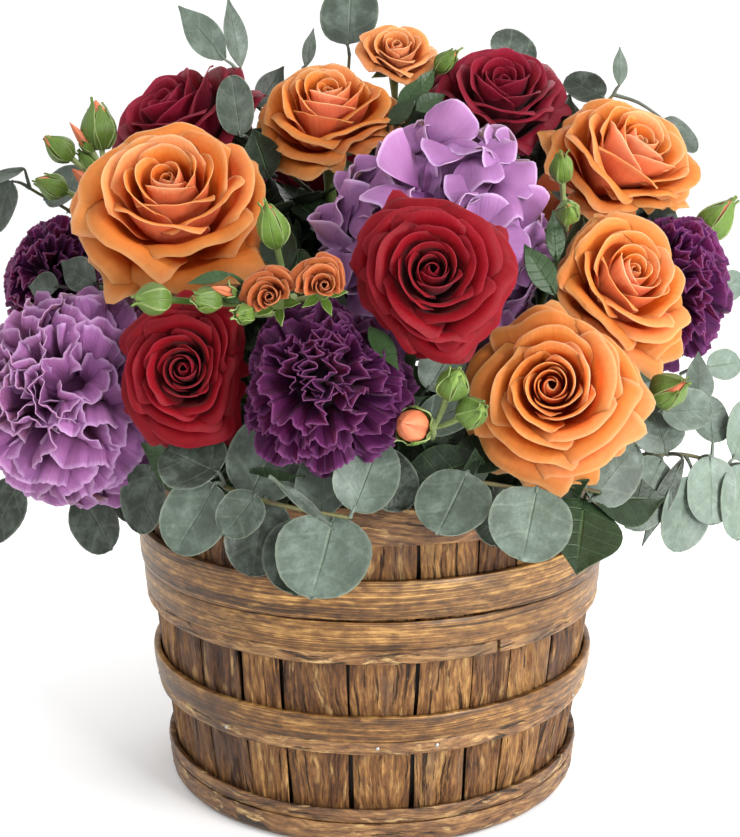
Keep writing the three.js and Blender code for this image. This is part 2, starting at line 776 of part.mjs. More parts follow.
// Green calyx cup with five sepals bent back, on its stem.
function makeRoseStem(head) {
  const route = stemRoute(head);
  const r = head.radius;
  const { axes, entry } = route;
  const radius = 2.1;
  const down = (depth) => axes.root.clone().addScaledVector(axes.z, -depth);
  const cup = 0.16 * r;
  const above = entry.top.clone().addScaledVector(entry.aim, -8);
  const path = [down(calyxGap), down(2.2), down(3.6), down(10), above, entry.end];
  const rings = pathRings(path, [cup, cup * 1.15, cup * 1.15, radius + 0.4, radius, radius], stemSides);
  const sepal = (side) => {
    const out = rings[1][side].clone().add(rings[1][(side + 1) % stemSides]).multiplyScalar(0.5).sub(path[1]);
    const tip = (depth) => down(depth).addScaledVector(out.clone().normalize(), 0.42 * r);
    return [{ lower: [tip(7)], upper: [tip(8)] }];
  };
  drillHole(entry.top, entry.aim, entry.end, radius);
  return grownBody(rings, { 1: sepal });
}

// The carnations' stems, each with its long calyx, run together low in the foam.
function makeCarnationStems(heads) {
  const meeting = [0, 0, 84];
  const radius = 1.9;
  const solids = heads.map((head) => {
    const axes = frameOf(head);
    const flat = Math.hypot(axes.root.x, axes.root.y);
    const inward = Math.min(64, 0.6 * flat) / flat;
    const x = axes.root.x * inward;
    const y = axes.root.y * inward;
    const top = new THREE.Vector3(x, y, foamTop(Math.hypot(x, y)));
    const aim = new THREE.Vector3(...meeting).sub(top).normalize();
    const neck = axes.root.clone().addScaledVector(axes.z, -calyxGap);
    const foot = neck.clone().addScaledVector(axes.z, -carnation.calyxLength);
    const above = top.clone().addScaledVector(aim, -8);
    drillHole(top, aim, new THREE.Vector3(...meeting), radius);
    const route = [...[neck, foot, above].map((point) => point.toArray()), meeting];
    return tube(route, [0.15 * head.radius, radius + 1.4, radius, radius]);
  });
  return join(solids);
}

function makePlainStem(head, radius) {
  const route = stemRoute(head);
  drillHole(route.entry.top, route.entry.aim, route.entry.end, radius);
  return stemTube(route, radius);
}

// ---- spray roses and their buds ----

// A closed bud with its pointed tip, on the end of its own twig.
function makeBud({ at, from, size, length }) {
  const tip = new THREE.Vector3(...at);
  const twig = new THREE.Vector3(...from);
  const along = tip.clone().sub(twig).normalize();
  const across = new THREE.Vector3(0, 0, 1).cross(along).normalize();
  const third = along.clone().cross(across);
  const place = ({ x, y, z }) => {
    const point = tip.clone().addScaledVector(along, z - length / 2);
    return point.addScaledVector(across, x).addScaledVector(third, y);
  };
  const profile = [[0.4, 0], [1, 0.4], [0.2, 1]];
  const body = grownBody(profile.map(([wide, up]) => ringOf((wide * size) / 2, up * length, 0).map(place)));
  return [body, tube([from, place({ x: 0, y: 0, z: 1.5 }).toArray()], 0.95, 3)];
}

// A spray: a main stem, side twigs with buds, and short necks under its open roses.
function makeSpray(spray) {
  const [x, y] = spray.entry;
  const radius = 1.5;
  const entry = foamEntry(x, y, 28);
  const above = entry.top.clone().addScaledVector(entry.aim, -8);
  const main = tube([...spray.stem, above.toArray(), entry.end.toArray()], radius, 4);
  const solids = [main];
  for (const bud of spray.buds) {
    solids.push(...makeBud(bud));
  }
  for (const { head, from } of spray.necks || []) {
    const axes = frameOf(head);
    const cup = axes.root.clone().addScaledVector(axes.z, -calyxGap);
    const under = cup.clone().addScaledVector(axes.z, -4);
    solids.push(tube([from, under.toArray(), cup.toArray()], [1, 1.2, 0.2 * head.radius], 4));
  }
  drillHole(entry.top, entry.aim, entry.end, radius);
  return join(solids);
}

const sprays = {
  spray_left: {
    stem: [[-113, -12, 264], [-101, -9, 232], [-80, -9, 198]],
    entry: [-50, -10],
    buds: [
      { at: [-112, -10, 284], from: [-112, -12, 262], size: 12, length: 19 },
      { at: [-128, -16, 274], from: [-108, -11, 252], size: 11, length: 18 },
      { at: [-130, -24, 259], from: [-105, -10, 243], size: 10, length: 15 },
    ],
  },
  spray_top_stem: {
    stem: [[10, 20, 292], [8, 26, 262], [4, 27, 216]],
    entry: [2, 20],
    buds: [{ at: [31, 1, 309], from: [10, 21, 286], size: 8, length: 14 }],
    necks: [{ head: smallRoses.top, from: [10, 20, 290] }],
  },
  spray_centre_stem: {
    stem: [[-29, -92, 223], [-31, -80, 210], [-26, -60, 186]],
    entry: [-22, -38],
    buds: [
      { at: [-36, -102, 250], from: [-30, -87, 217], size: 11, length: 18 },
      { at: [-77, -121, 227], from: [-30, -89, 219], size: 10, length: 14 },
      { at: [-57, -122, 226], from: [-30, -88, 218], size: 10, length: 14 },
    ],
    necks: [
      { head: smallRoses.centreLeft, from: [-29, -90, 221] },
      { head: smallRoses.centreRight, from: [-29, -90, 221] },
    ],
  },
  spray_front: {
    stem: [[21, -120, 182], [22, -106, 174], [21, -88, 168]],
    entry: [18, -60],
    buds: [
      { at: [12, -130, 183], from: [21, -112, 177], size: 13, length: 17 },
      { at: [28, -130, 199], from: [22, -116, 179], size: 11, length: 14 },
      { at: [34, -131, 186], from: [22, -113, 178], size: 11, length: 13 },
    ],
  },
  spray_right_rear: {
    stem: [[74, -56, 256], [76, -40, 240], [66, -30, 205]],
    entry: [38, -18],
    buds: [
      { at: [71, -68, 270], from: [75, -50, 250], size: 10, length: 17 },
      { at: [70, -92, 253], from: [75, -54, 254], size: 9, length: 17 },
    ],
  },
  spray_right: {
    stem: [[106, -84, 182], [94, -72, 174], [78, -58, 166]],
    entry: [54, -40],
    buds: [{ at: [109, -97, 190], from: [98, -76, 177], size: 14, length: 19 }],
  },
  spray_right_edge: {
    stem: [[137, 8, 228], [118, 14, 202], [92, 12, 180]],
    entry: [60, 9],
    buds: [{ at: [148, 5, 243], from: [132, 9, 222], size: 14, length: 20 }],
  },
};

// ---- leaves ----

// Leafy stems. The stem runs from its tip to the foam. Each leaf: the middle of the blade, its
// width, its length over its width, and where its upper face looks, in degrees as for the blooms.
const leafyStems = {
  eucalyptus_top: {
    stem: [[-10, 38, 312], [-12, 36, 280], [-12, 32, 225], [-9, 27, 168], [-7, 22, 138]],
    twigs: [[[-64, 22, 312], [-58, 26, 300], [-38, 32, 280], [-12, 36, 262]]],
    leaves: [
      [-10, 40, 330, 28, 1.05, -10, 25],
      [-74, 20, 325, 14, 1.7, -15, 10],
      [-60, 21, 325, 11, 2.0, 40, 10],
      [-48, 20, 306, 12, 1.9, 20, 20],
      [-27, 26, 318, 8, 2.3, 20, 10],
    ],
  },
  eucalyptus_top_right: {
    stem: [[104, 19, 295], [84, 24, 272], [50, 26, 228], [32, 20, 167], [26, 15, 138]],
    twigs: [],
    leaves: [
      [62, 38, 314, 20, 1.1, 10, 30],
      [92, 22, 298, 16, 1.3, -20, 40],
      [106, 18, 307, 8, 2.0, 30, 10],
      [132, 12, 278, 14, 1.4, 30, 30],
    ],
  },
  eucalyptus_left_high: {
    stem: [[-146, 4, 256], [-126, 16, 240], [-104, 9, 208], [-54, 6, 163], [-44, 5, 134]],
    twigs: [],
    leaves: [
      [-151, -2, 263, 10, 2.2, -20, 60],
      [-157, -4, 249, 22, 1.05, -35, 15],
      [-136, 6, 254, 20, 1.1, -30, 30],
      [-128, 30, 250, 20, 1.1, -100, 40],
    ],
  },
  eucalyptus_left_low: {
    stem: [[-148, -28, 134], [-126, -34, 138], [-100, -34, 150], [-72, -24, 155], [-48, -16, 149]],
    twigs: [],
    leaves: [
      [-152, -30, 128, 27, 1.05, -35, 10],
      [-112, -58, 127, 26, 1.1, -30, 10],
      [-138, -14, 146, 24, 1.1, -70, 35],
      [-96, -66, 140, 22, 1.1, -30, 10],
    ],
  },
  eucalyptus_front_left: {
    stem: [[-8, -134, 148], [-32, -129, 152], [-54, -112, 155], [-50, -84, 155], [-34, -54, 150]],
    twigs: [],
    leaves: [
      [-17, -133, 136, 34, 0.95, 0, 8],
      [3, -128, 155, 21, 1.1, 5, 20],
      [-46, -124, 155, 24, 1.0, -5, 25],
      [-66, -122, 145, 28, 1.0, -18, 8],
      [-64, -112, 165, 22, 1.0, -20, 60],
      [-38, -127, 137, 24, 1.1, 10, -8],
    ],
  },
  eucalyptus_front_right: {
    stem: [[64, -122, 149], [46, -119, 154], [30, -112, 157], [26, -96, 158], [24, -66, 151]],
    twigs: [],
    leaves: [
      [26, -124, 151, 30, 1.0, -5, 22],
      [60, -127, 146, 30, 1.0, 8, 12],
      [44, -124, 140, 22, 1.1, 10, 5],
    ],
  },
  eucalyptus_right: {
    stem: [[142, -60, 150], [122, -68, 157], [98, -66, 156], [80, -52, 154], [54, -32, 149]],
    twigs: [],
    leaves: [
      [104, -86, 146, 27, 1.1, 25, 8],
      [121, -80, 136, 27, 1.1, 30, 5],
      [145, -70, 139, 27, 1.1, 35, 12],
      [150, -50, 162, 24, 1.1, 40, 20],
      [118, -82, 163, 11, 3.0, -40, 5],
      [136, -52, 168, 18, 1.2, 20, 40],
    ],
  },
  eucalyptus_back_left: {
    stem: [[-100, 100, 150], [-80, 92, 154], [-58, 74, 158], [-36, 46, 150]],
    twigs: [],
    leaves: [
      [-112, 98, 142, 30, 1.0, -130, 10],
      [-92, 110, 138, 28, 1.0, -140, 8],
      [-66, 112, 150, 28, 1.0, -155, 15],
      [-112, 84, 164, 24, 1.1, -125, 40],
      [-48, 104, 164, 24, 1.1, -165, 35],
    ],
  },
  eucalyptus_back_right: {
    stem: [[122, 72, 158], [98, 72, 157], [74, 58, 157], [46, 38, 150]],
    twigs: [[[118, 50, 196], [110, 56, 176], [98, 62, 160]]],
    leaves: [
      [132, 70, 146, 30, 1.0, 120, 10],
      [108, 94, 142, 28, 1.0, 135, 8],
      [82, 106, 150, 28, 1.0, 150, 15],
      [128, 44, 204, 28, 1.05, 110, 30],
      [128, 58, 178, 26, 1.05, 118, 20],
      [104, 80, 176, 26, 1.05, 135, 30],
    ],
  },
  salal_front: {
    stem: [[84, -106, 150], [62, -100, 156], [48, -84, 156], [33, -54, 150]],
    twigs: [],
    leaves: [
      [82, -112, 143, 30, 1.35, 20, 15],
      [40, -104, 166, 18, 1.6, -10, 45],
      [104, -98, 140, 24, 1.3, 28, 10],
    ],
  },
};

// Rows of a leaf, in parts of its length from its middle, and half its width there.
const wideOutline = [[-0.34, 0.36], [0.02, 0.5], [0.34, 0.33]];
const slimOutline = [[-0.2, 0.46], [0.2, 0.42]];

// The leaf grows from the nearest point of its stem. Its blade is a rounded outline, cupped a little.
function makeLeaf(leaf, routes) {
  const [x, y, z, width, stretch, around, above] = leaf;
  const middle = new THREE.Vector3(x, y, z);
  const root = nearestPoint(middle, routes);
  const face = facingVector([around, above]);
  const away = middle.clone().sub(root);
  const along = away.clone().addScaledVector(face, -away.dot(face)).normalize();
  const side = along.clone().cross(face);
  const length = width * stretch;
  middle.addScaledVector(along, Math.max(0, 0.48 * length - away.dot(along)));
  const outline = width > smallLeaf ? wideOutline : slimOutline;
  const rows = outline.map(([t, half]) => spaced(3).map((u) => {
    const point = middle.clone().addScaledVector(along, t * length).addScaledVector(side, u * half * width);
    return point.addScaledVector(face, (Math.abs(u) - 0.5) * 0.08 * width);
  }));
  const tip = middle.clone().addScaledVector(along, 0.5 * length);
  return blade([[root], ...rows, [tip]]);
}

function nearestPoint(point, routes) {
  let best = null;
  for (const route of routes) {
    for (let k = 0; k + 1 < route.length; k += 1) {
      const line = new THREE.Line3(new THREE.Vector3(...route[k]), new THREE.Vector3(...route[k + 1]));
      const near = line.closestPointToPoint(point, true, new THREE.Vector3());
      if (!best || near.distanceTo(point) < best.distanceTo(point)) {
        best = near;
      }
    }
  }
  return best;
}

function makeLeafyStem(plant) {
  const radius = 1.3;
  const solids = [tube(plant.stem, radius, 4)];
  plant.twigs.forEach((twig) => solids.push(tube(twig, radius - 0.2, 3)));
  const outside = [plant.stem.slice(0, -1), ...plant.twigs];
  plant.leaves.forEach((leaf) => solids.push(makeLeaf(leaf, outside)));
  const [above, end] = plant.stem.slice(-2).map((point) => new THREE.Vector3(...point));
  const aim = end.clone().sub(above).normalize();
  drillHole(above, aim, end, radius + 0.25);
  return join(solids);
}

// ---- the whole arrangement ----

addNode('basket_base', makeBase(), finish.boards);
addNode('basket_staves', makeStaves(), finish.staves);
addNode('rim_strip', makeHoop(hoops.rim), finish.bark);
addNode('hoop_upper', makeSteppedHoop(hoops.upper), finish.splint);
addNode('hoop_upper_bark', makeHoop(hoops.upperBark), finish.bark);
addNode('hoop_middle', makeHoop(hoops.middle), finish.splint);
addNode('hoop_middle_bark', makeHoop(hoops.middleBark), finish.bark);
addNode('hoop_bottom', makeSteppedHoop(hoops.bottom), finish.bark);
addNode('liner', makeLiner(), finish.liner);

function addRoses(name, heads, material) {
  heads.forEach((head, k) => {
    addNode(`${name}_${k + 1}`, makeRose(head, roseWhorls), material);
    addNode(`${name}_${k + 1}_stem`, makeRoseStem(head), finish.stem);
  });
}

addRoses('orange_rose', orangeRoses, finish.orange);
addRoses('red_rose', redRoses, finish.red);
lavenderCarnations.forEach((head, k) => {
  addNode(`carnation_lavender_${k + 1}`, makeCarnation(head, 7), finish.lavender);
});
purpleCarnations.forEach((head, k) => {
  addNode(`carnation_purple_${k + 1}`, makeCarnation(head, 6), finish.purple);
});
addNode('carnation_stems', makeCarnationStems([...lavenderCarnations, ...purpleCarnations]), finish.stem);
addNode('hydrangea_head', makeHydrangea(hydrangea), finish.lilac);
addNode('hydrangea_stem', makePlainStem(hydrangea, 2.6), finish.stem);

addNode('spray_top_bloom', makeRose(smallRoses.top, smallRoseWhorls), finish.coral);
const pair = [smallRoses.centreLeft, smallRoses.centreRight];
addNode('spray_centre_blooms', join(pair.map((head) => makeRose(head, smallRoseWhorls, pair))), finish.coral);
Object.entries(sprays).forEach(([name, spray]) => addNode(name, makeSpray(spray), finish.bud));
Object.entries(leafyStems).forEach(([name, plant]) => {
  addNode(name, makeLeafyStem(plant), name.startsWith('salal') ? finish.salal : finish.eucalyptus);
});
addNode('floral_foam', makeFoam(holes), finish.foam);

export default group;
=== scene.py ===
import math
import bpy
import numpy as np
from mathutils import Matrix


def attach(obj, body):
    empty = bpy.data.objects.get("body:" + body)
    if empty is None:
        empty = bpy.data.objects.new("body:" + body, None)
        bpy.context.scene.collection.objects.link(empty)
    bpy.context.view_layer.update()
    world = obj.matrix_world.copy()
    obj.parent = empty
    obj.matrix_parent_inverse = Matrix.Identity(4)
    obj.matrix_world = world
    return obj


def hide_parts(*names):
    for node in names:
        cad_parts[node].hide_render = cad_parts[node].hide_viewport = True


# Flower arrangement in a round stave basket. Tables are in millimetres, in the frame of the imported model.

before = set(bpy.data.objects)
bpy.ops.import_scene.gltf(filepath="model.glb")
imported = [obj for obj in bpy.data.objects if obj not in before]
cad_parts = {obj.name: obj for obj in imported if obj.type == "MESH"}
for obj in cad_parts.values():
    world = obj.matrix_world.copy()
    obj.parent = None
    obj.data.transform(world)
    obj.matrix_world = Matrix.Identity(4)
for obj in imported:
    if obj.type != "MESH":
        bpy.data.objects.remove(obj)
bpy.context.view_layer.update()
mm = 0.001
goldenTurn = math.radians(137.508)


class Value:  # a shader socket that takes part in Python expressions
    def __init__(self, shader, socket):
        self.shader, self.socket = shader, socket

    def math(self, operation, other=0.0, first=None):
        left, right = (self, other) if first is None else (first, self)
        return self.shader.node("ShaderNodeMath", {"operation": operation}, {0: left, 1: right})

    def __add__(self, other):
        return self.math("ADD", other)

    def __sub__(self, other):
        return self.math("SUBTRACT", other)

    def __rsub__(self, other):
        return self.math("SUBTRACT", first=other)

    def __mul__(self, other):
        return self.math("MULTIPLY", other)

    __radd__, __rmul__ = __add__, __mul__


class Shader:
    def __init__(self, name):
        self.material = bpy.data.materials.new(name)
        self.material.use_nodes = True
        self.tree = self.material.node_tree
        self.tree.nodes.clear()

    def node(self, kind, settings=None, sockets=None, output=0):
        made = self.tree.nodes.new(kind)
        for key, value in (settings or {}).items():
            if key == "stops":
                for element, (place, colour) in zip(rampElements(made, len(value)), value):
                    element.position, element.color = place, (*colour, 1)
            else:
                setattr(made, key, value)
        for key, value in (sockets or {}).items():
            if isinstance(value, Value):
                self.tree.links.new(value.socket, made.inputs[key])
            else:
                made.inputs[key].default_value = value
        return Value(self, made.outputs[output])

    def uv(self):
        both = self.node("ShaderNodeUVMap", {"uv_map": "sheet"})
        return [self.node("ShaderNodeSeparateXYZ", None, {0: both}, output) for output in (0, 1)]

    def attribute(self, name):
        return self.node("ShaderNodeAttribute", {"attribute_name": name}, None, 2)

    def place(self):  # object coordinates
        return self.node("ShaderNodeTexCoord", None, None, 3)

    def vector(self, x, y, z=0.0):
        return self.node("ShaderNodeCombineXYZ", None, {0: x, 1: y, 2: z})

    def noise(self, vector, scale, detail=3.0, roughness=0.55):
        return self.node("ShaderNodeTexNoise", None, {"Vector": vector, "Scale": scale, "Detail": detail,
                                                      "Roughness": roughness})

    def step(self, value, low, high):  # 0 below low, 1 above high
        return self.node("ShaderNodeMapRange", {"interpolation_type": "SMOOTHSTEP"},
                         {"Value": value, "From Min": low, "From Max": high})

    def mix(self, factor, first, second):
        colours = [c if isinstance(c, Value) else (*c, 1) for c in (first, second)]
        return self.node("ShaderNodeMix", {"data_type": "RGBA"}, {0: factor, 6: colours[0], 7: colours[1]}, 2)

    def scaled(self, colour, factor):
        return self.node("ShaderNodeVectorMath", {"operation": "SCALE"}, {0: colour, "Scale": factor})

    def bump(self, height, depth, strength=1.0):
        return self.node("ShaderNodeBump", None, {"Height": height, "Distance": depth, "Strength": strength})

    def finish(self, colour, roughness, normal=None, **fixed):
        sockets = {"Base Color": colour, "Roughness": roughness}
        sockets.update({key.replace("_", " "): value for key, value in fixed.items()})
        if normal:
            sockets["Normal"] = normal
        body = self.node("ShaderNodeBsdfPrincipled", None, sockets)
        out = self.tree.nodes.new("ShaderNodeOutputMaterial")
        self.tree.links.new(body.socket, out.inputs["Surface"])
        return self.material


def rampElements(node, count):
    elements = node.color_ramp.elements
    while len(elements) < count:
        elements.new(0.5)
    return elements


daylight = 0.8  # how much of a colour seen in full light belongs to the surface itself


def rgb(red, green, blue):  # a colour as seen in full light, as linear surface colour
    return tuple(daylight * (c / 12.92 if c <= 0.04045 else ((c + 0.055) / 1.055) ** 2.4)
                 for c in (red / 255, green / 255, blue / 255))


class Bundle:  # gathers closed shells and makes one piece of them
    def __init__(self):
        self.points, self.faces, self.uvs, self.count = [], [], [], 0
        self.marks = {"side": [], "tone": [], "layer": []}

    def add(self, points, faces, uvs, side=0.0, tone=0.5, layer=0.5):
        self.points.append(points)
        self.uvs.append(uvs)
        self.faces.extend((np.asarray(faces) + self.count).tolist())
        for name, value in (("side", side), ("tone", tone), ("layer", layer)):
            self.marks[name].append(np.broadcast_to(value, len(points)))
        self.count += len(points)

    # A sheet through a grid of points, rows along it and columns across. Its first side faces across x along.
    def sheet(self, grid, thickness, tone=0.5, layer=0.5):
        rows, columns = grid.shape[:2]
        normals = np.cross(np.gradient(grid, axis=1), np.gradient(grid, axis=0))
        normals /= np.linalg.norm(normals, axis=2, keepdims=True) + 1e-9
        out = normals * (np.broadcast_to(thickness, (rows, columns)) / 2)[..., None]
        both = np.concatenate([(grid + out).reshape(-1, 3), (grid - out).reshape(-1, 3)])
        uv = np.stack(np.meshgrid(np.linspace(0, 1, columns), np.linspace(0, 1, rows)), axis=2)
        side = np.repeat([1.0, 0.0], rows * columns)
        self.add(both, sheetFaces(rows, columns), np.tile(uv.reshape(-1, 2), (2, 1)), side, tone, layer)

    # A tube through a path, with a radius for each point, closed at both ends.
    def tube(self, path, radii, sides=8, tone=0.5, layer=0.5):
        path = np.asarray(path, float)
        radii = np.broadcast_to(radii, len(path))
        along = np.gradient(path, axis=0)
        along /= np.linalg.norm(along, axis=1, keepdims=True)
        side = np.cross(along, (0.31, 0.52, 0.79))
        side /= np.linalg.norm(side, axis=1, keepdims=True)
        other = np.cross(along, side)
        turn = turns(sides)
        ring = side[:, None] * np.cos(turn)[None, :, None] + other[:, None] * np.sin(turn)[None, :, None]
        grid = path[:, None] + ring * radii[:, None, None]
        length = np.concatenate([[0], np.cumsum(np.linalg.norm(np.diff(path, axis=0), axis=1))]) * mm
        self.strip(grid, stacked(length[:, None], (turn / 6.3)[None, :]), tone, layer)

    # A solid through closed sections, with flat ends.
    def strip(self, sections, uvs, tone=0.5, layer=0.5):
        count, around = sections.shape[:2]
        index = np.arange(count * around).reshape(count, around)
        after = np.roll(index, -1, axis=1)
        quads = np.stack([index[:-1], after[:-1], after[1:], index[1:]], axis=2).reshape(-1, 4)
        start = self.count
        self.add(sections.reshape(-1, 3), quads, uvs.reshape(-1, 2), 1.0, tone, layer)
        for end in (index[0, ::-1], index[-1]):
            self.faces.append((end + start).tolist())

    def make(self, name, materials, slot, *nodes, angle=50):
        mesh = bpy.data.meshes.new(name)
        mesh.from_pydata((np.concatenate(self.points) * mm).tolist(), [], self.faces)
        loops = np.zeros(len(mesh.loops), int)
        mesh.loops.foreach_get("vertex_index", loops)
        mesh.uv_layers.new(name="sheet").data.foreach_set("uv", np.concatenate(self.uvs)[loops].ravel())
        for mark, parts in self.marks.items():
            mesh.attributes.new(mark, "FLOAT", "POINT").data.foreach_set("value", np.concatenate(parts))
        piece = bpy.data.objects.new(name, mesh)
        bpy.context.scene.collection.objects.link(piece)
        return dress(piece, materials, slot, *nodes, angle=angle)


faceTables = {}  # the faces of a sheet, kept for each size of grid


def sheetFaces(rows, columns):
    if (rows, columns) not in faceTables:
        front = np.arange(rows * columns).reshape(rows, columns)
        back = front + rows * columns
        quads = [np.stack([front[:-1, :-1], front[:-1, 1:], front[1:, 1:], front[1:, :-1]], axis=2),
                 np.stack([back[:-1, :-1], back[1:, :-1], back[1:, 1:], back[:-1, 1:]], axis=2)]
        rim = np.concatenate([front[0, ::-1], front[1:, 0], front[-1, 1:], front[-2:0:-1, -1]])
        under = rim + rows * columns
        quads.append(np.stack([rim, np.roll(rim, -1), np.roll(under, -1), under], axis=1))
        faceTables[rows, columns] = np.concatenate([part.reshape(-1, 4) for part in quads])
    return faceTables[rows, columns]


def deselectAll():
    for thing in bpy.context.selected_objects:
        thing.select_set(False)


def dress(piece, materials, slot, *nodes, angle=50):
    for material in materials:
        piece.data.materials.append(material)
    deselectAll()
    piece.select_set(True)
    bpy.context.view_layer.objects.active = piece
    bpy.ops.object.shade_smooth_by_angle(angle=math.radians(angle))
    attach(piece, "root")
    if nodes:
        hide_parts(*nodes)
    return piece


def unit(vector):
    return vector / np.linalg.norm(vector)


def turns(count):  # even steps round a circle
    return np.linspace(0, 2 * math.pi, count, endpoint=False)


def stacked(*parts):
    return np.stack(np.broadcast_arrays(*parts), axis=-1)


def direction(polar, turn):  # from the head's axis outwards
    return np.array([math.sin(polar) * math.sin(turn), -math.sin(polar) * math.cos(turn), math.cos(polar)])


def capAngle(widest, share):  # the polar angle within which a share of a round cap lies
    return math.acos(1 - (1 - math.cos(math.radians(widest))) * share)


def pieceName(node):
    first, *others = node.split("_")
    return first + "".join(word.capitalize() for word in others)


def waves(x, count, seed):  # a smooth random curve round a circle or along a line
    rolls = np.random.default_rng(seed)
    total = np.zeros(np.shape(x))
    for k in range(1, count + 1):
        total = total + np.sin(np.asarray(x) * k + rolls.uniform(0, 6.3)) * rolls.uniform(0.4, 1) / k ** 0.6
    return total / math.sqrt(count)


def smooth(x, low, high):
    t = np.clip((np.asarray(x, float) - low) / (high - low), 0, 1)
    return t * t * (3 - 2 * t)


def curve(points, count):  # a smooth path through points
    points = np.asarray(points, float)
    padded = np.vstack([2 * points[0] - points[1], points, 2 * points[-1] - points[-2]])
    path = []
    for k in range(len(points) - 1):
        a, b, c, d = padded[k:k + 4]
        for t in np.linspace(0, 1, count, endpoint=False):
            path.append(0.5 * (2 * b + (c - a) * t + (2 * a - 5 * b + 4 * c - d) * t ** 2
                               + (3 * b - a - 3 * c + d) * t ** 3))
    return np.array(path + [points[-1]])


stage = {"camera": (-0.94, -629.5, 297.0), "pitch": 12.6, "lens": 63.23, "sensor": 36, "clip": (0.01, 100),
         "sky": 1.12, "floor": 80, "floorDrop": 0.0005, "paper": (0.87, 0.87, 0.87, 1), "paperGlow": 0.08,
         "aim": (0, 0, 0.17), "lights": {  # place, size and watts, in metres
             "keyLight": ((0.9, -0.8, 1.0), 0.45, 13.0), "fillLight": ((0.7, -0.9, 0.26), 0.2, 9.4),
             "backLight": ((0.3, 0.9, 0.9), 0.6, 4)}}


def makeStage():
    bpy.ops.object.camera_add(location=[c * mm for c in stage["camera"]],
                              rotation=(math.radians(90 - stage["pitch"]), 0, 0))
    camera = bpy.context.object
    camera.data.lens, camera.data.sensor_width = stage["lens"], stage["sensor"]
    camera.data.clip_start, camera.data.clip_end = stage["clip"]
    bpy.context.scene.camera = camera
    for name, (place, size, power) in stage["lights"].items():
        x, y, z = np.array(stage["aim"]) - place
        aim = (math.pi - math.acos(z / math.hypot(x, y, z)), 0, math.atan2(y, x) - math.pi / 2)
        bpy.ops.object.light_add(type="AREA", location=place, rotation=aim)
        light = bpy.context.object
        light.name, light.data.size, light.data.energy = name, size, power
    world = bpy.data.worlds.new("studio")
    world.use_nodes = True
    background = world.node_tree.nodes["Background"]
    background.inputs[0].default_value = (1, 1, 1, 1)
    background.inputs[1].default_value = stage["sky"]
    bpy.context.scene.world = world
    bpy.context.scene.view_settings.view_transform = "Standard"
    bpy.ops.mesh.primitive_plane_add(size=stage["floor"], location=(0, 0, -stage["floorDrop"]))
    floor = bpy.context.object
    floor.name = "floor"
    paper = Shader("paper").finish(stage["paper"], 0.8, Emission_Strength=stage["paperGlow"],
                                   Emission_Color=(1, 1, 1, 1))
    floor.data.materials.append(paper)


makeStage()
print("stage: camera, three soft lights, pale floor")


def tints(look):  # the colours of a look, which are its tuples
    return {key: rgb(*value) for key, value in look.items() if isinstance(value, tuple)}


# Rim colours are a painted highlight along the petals' edges; the share sets how strongly they show.
petalBasics = {"rimHighlightShare": 0.5, "heartShare": 0.5, "rootShadeEnd": 0.1, "bodyStart": 0.75, "veins": 24.0,
               "veinShade": 0.25, "veinDepth": 0.0006, "patches": 90.0, "roughness": 0.5, "sheen": 0.03,
               "glow": 0.35}
# A petal's root colours paint the shade deep in the bloom; the orange rose's are kept bright, painted light
# against that shade.
petalLooks = {  # what differs from petalBasics, with colours as seen in full light
    "orangePetal": {"body": (226, 104, 34), "lip": (232, 126, 56), "rim": (240, 166, 104),
                    "deep": (254, 100, 26), "back": (234, 116, 74), "backRoot": (248, 106, 64),
                    "heart": (250, 114, 46), "blush": (240, 112, 86), "veins": 26.0, "veinShade": 0.2,
                    "sheen": 0.0, "glow": 0.7},
    "redPetal": {"body": (130, 6, 19), "lip": (124, 8, 21), "rim": (146, 34, 46), "deep": (80, 2, 11),
                 "back": (118, 8, 28), "backRoot": (108, 6, 24), "heart": (152, 20, 38), "rimHighlightShare": 0.3,
                 "roughness": 0.55, "sheen": 0.04},
    "burgundyPetal": {"body": (114, 11, 29), "lip": (118, 15, 35), "rim": (138, 38, 56), "deep": (66, 2, 13),
                      "back": (98, 10, 32), "backRoot": (96, 8, 28), "heart": (112, 10, 30), "rimHighlightShare": 0.3,
                      "roughness": 0.55, "sheen": 0.04},
    "coralPetal": {"body": (232, 130, 66), "lip": (242, 148, 86), "rim": (250, 188, 140),
                   "deep": (204, 92, 38), "back": (234, 146, 98), "backRoot": (224, 128, 88),
                   "heart": (222, 108, 52), "veins": 20.0},
    "copperPetal": {"body": (164, 72, 36), "lip": (180, 90, 48), "rim": (208, 134, 90), "deep": (126, 44, 20),
                    "back": (192, 104, 62), "backRoot": (168, 82, 48), "heart": (166, 64, 36), "veins": 20.0},
    "lavenderPetal": {"body": (146, 86, 141), "lip": (154, 96, 150), "rim": (200, 156, 198),
                      "deep": (96, 42, 90), "back": (136, 78, 130), "backRoot": (104, 52, 98),
                      "heart": (132, 74, 126), "rimHighlightShare": 0.65, "veins": 40.0, "veinDepth": 0.0012,
                      "roughness": 0.6, "sheen": 0.05},
    "purplePetal": {"body": (64, 15, 58), "lip": (72, 21, 66), "rim": (126, 64, 120), "deep": (26, 3, 20),
                    "back": (64, 16, 56), "backRoot": (34, 5, 28), "heart": (78, 26, 74), "veins": 36.0,
                    "veinShade": 0.35, "veinDepth": 0.0012, "sheen": 0.04},
    "plumPetal": {"body": (64, 14, 60), "lip": (70, 19, 66), "rim": (106, 50, 106), "deep": (46, 6, 34),
                  "back": (88, 22, 74), "backRoot": (54, 8, 42), "heart": (98, 30, 84), "veins": 36.0,
                  "veinShade": 0.35, "veinDepth": 0.0012, "sheen": 0.04},
    "lilacSepal": {"body": (152, 98, 150), "lip": (168, 114, 167), "rim": (230, 194, 232),
                   "deep": (96, 48, 98), "back": (142, 90, 140), "backRoot": (98, 52, 98),
                   "heart": (130, 80, 132), "veins": 22.0, "veinShade": 0.24, "rootShadeEnd": 0.0,
                   "bodyStart": 0.5},
}


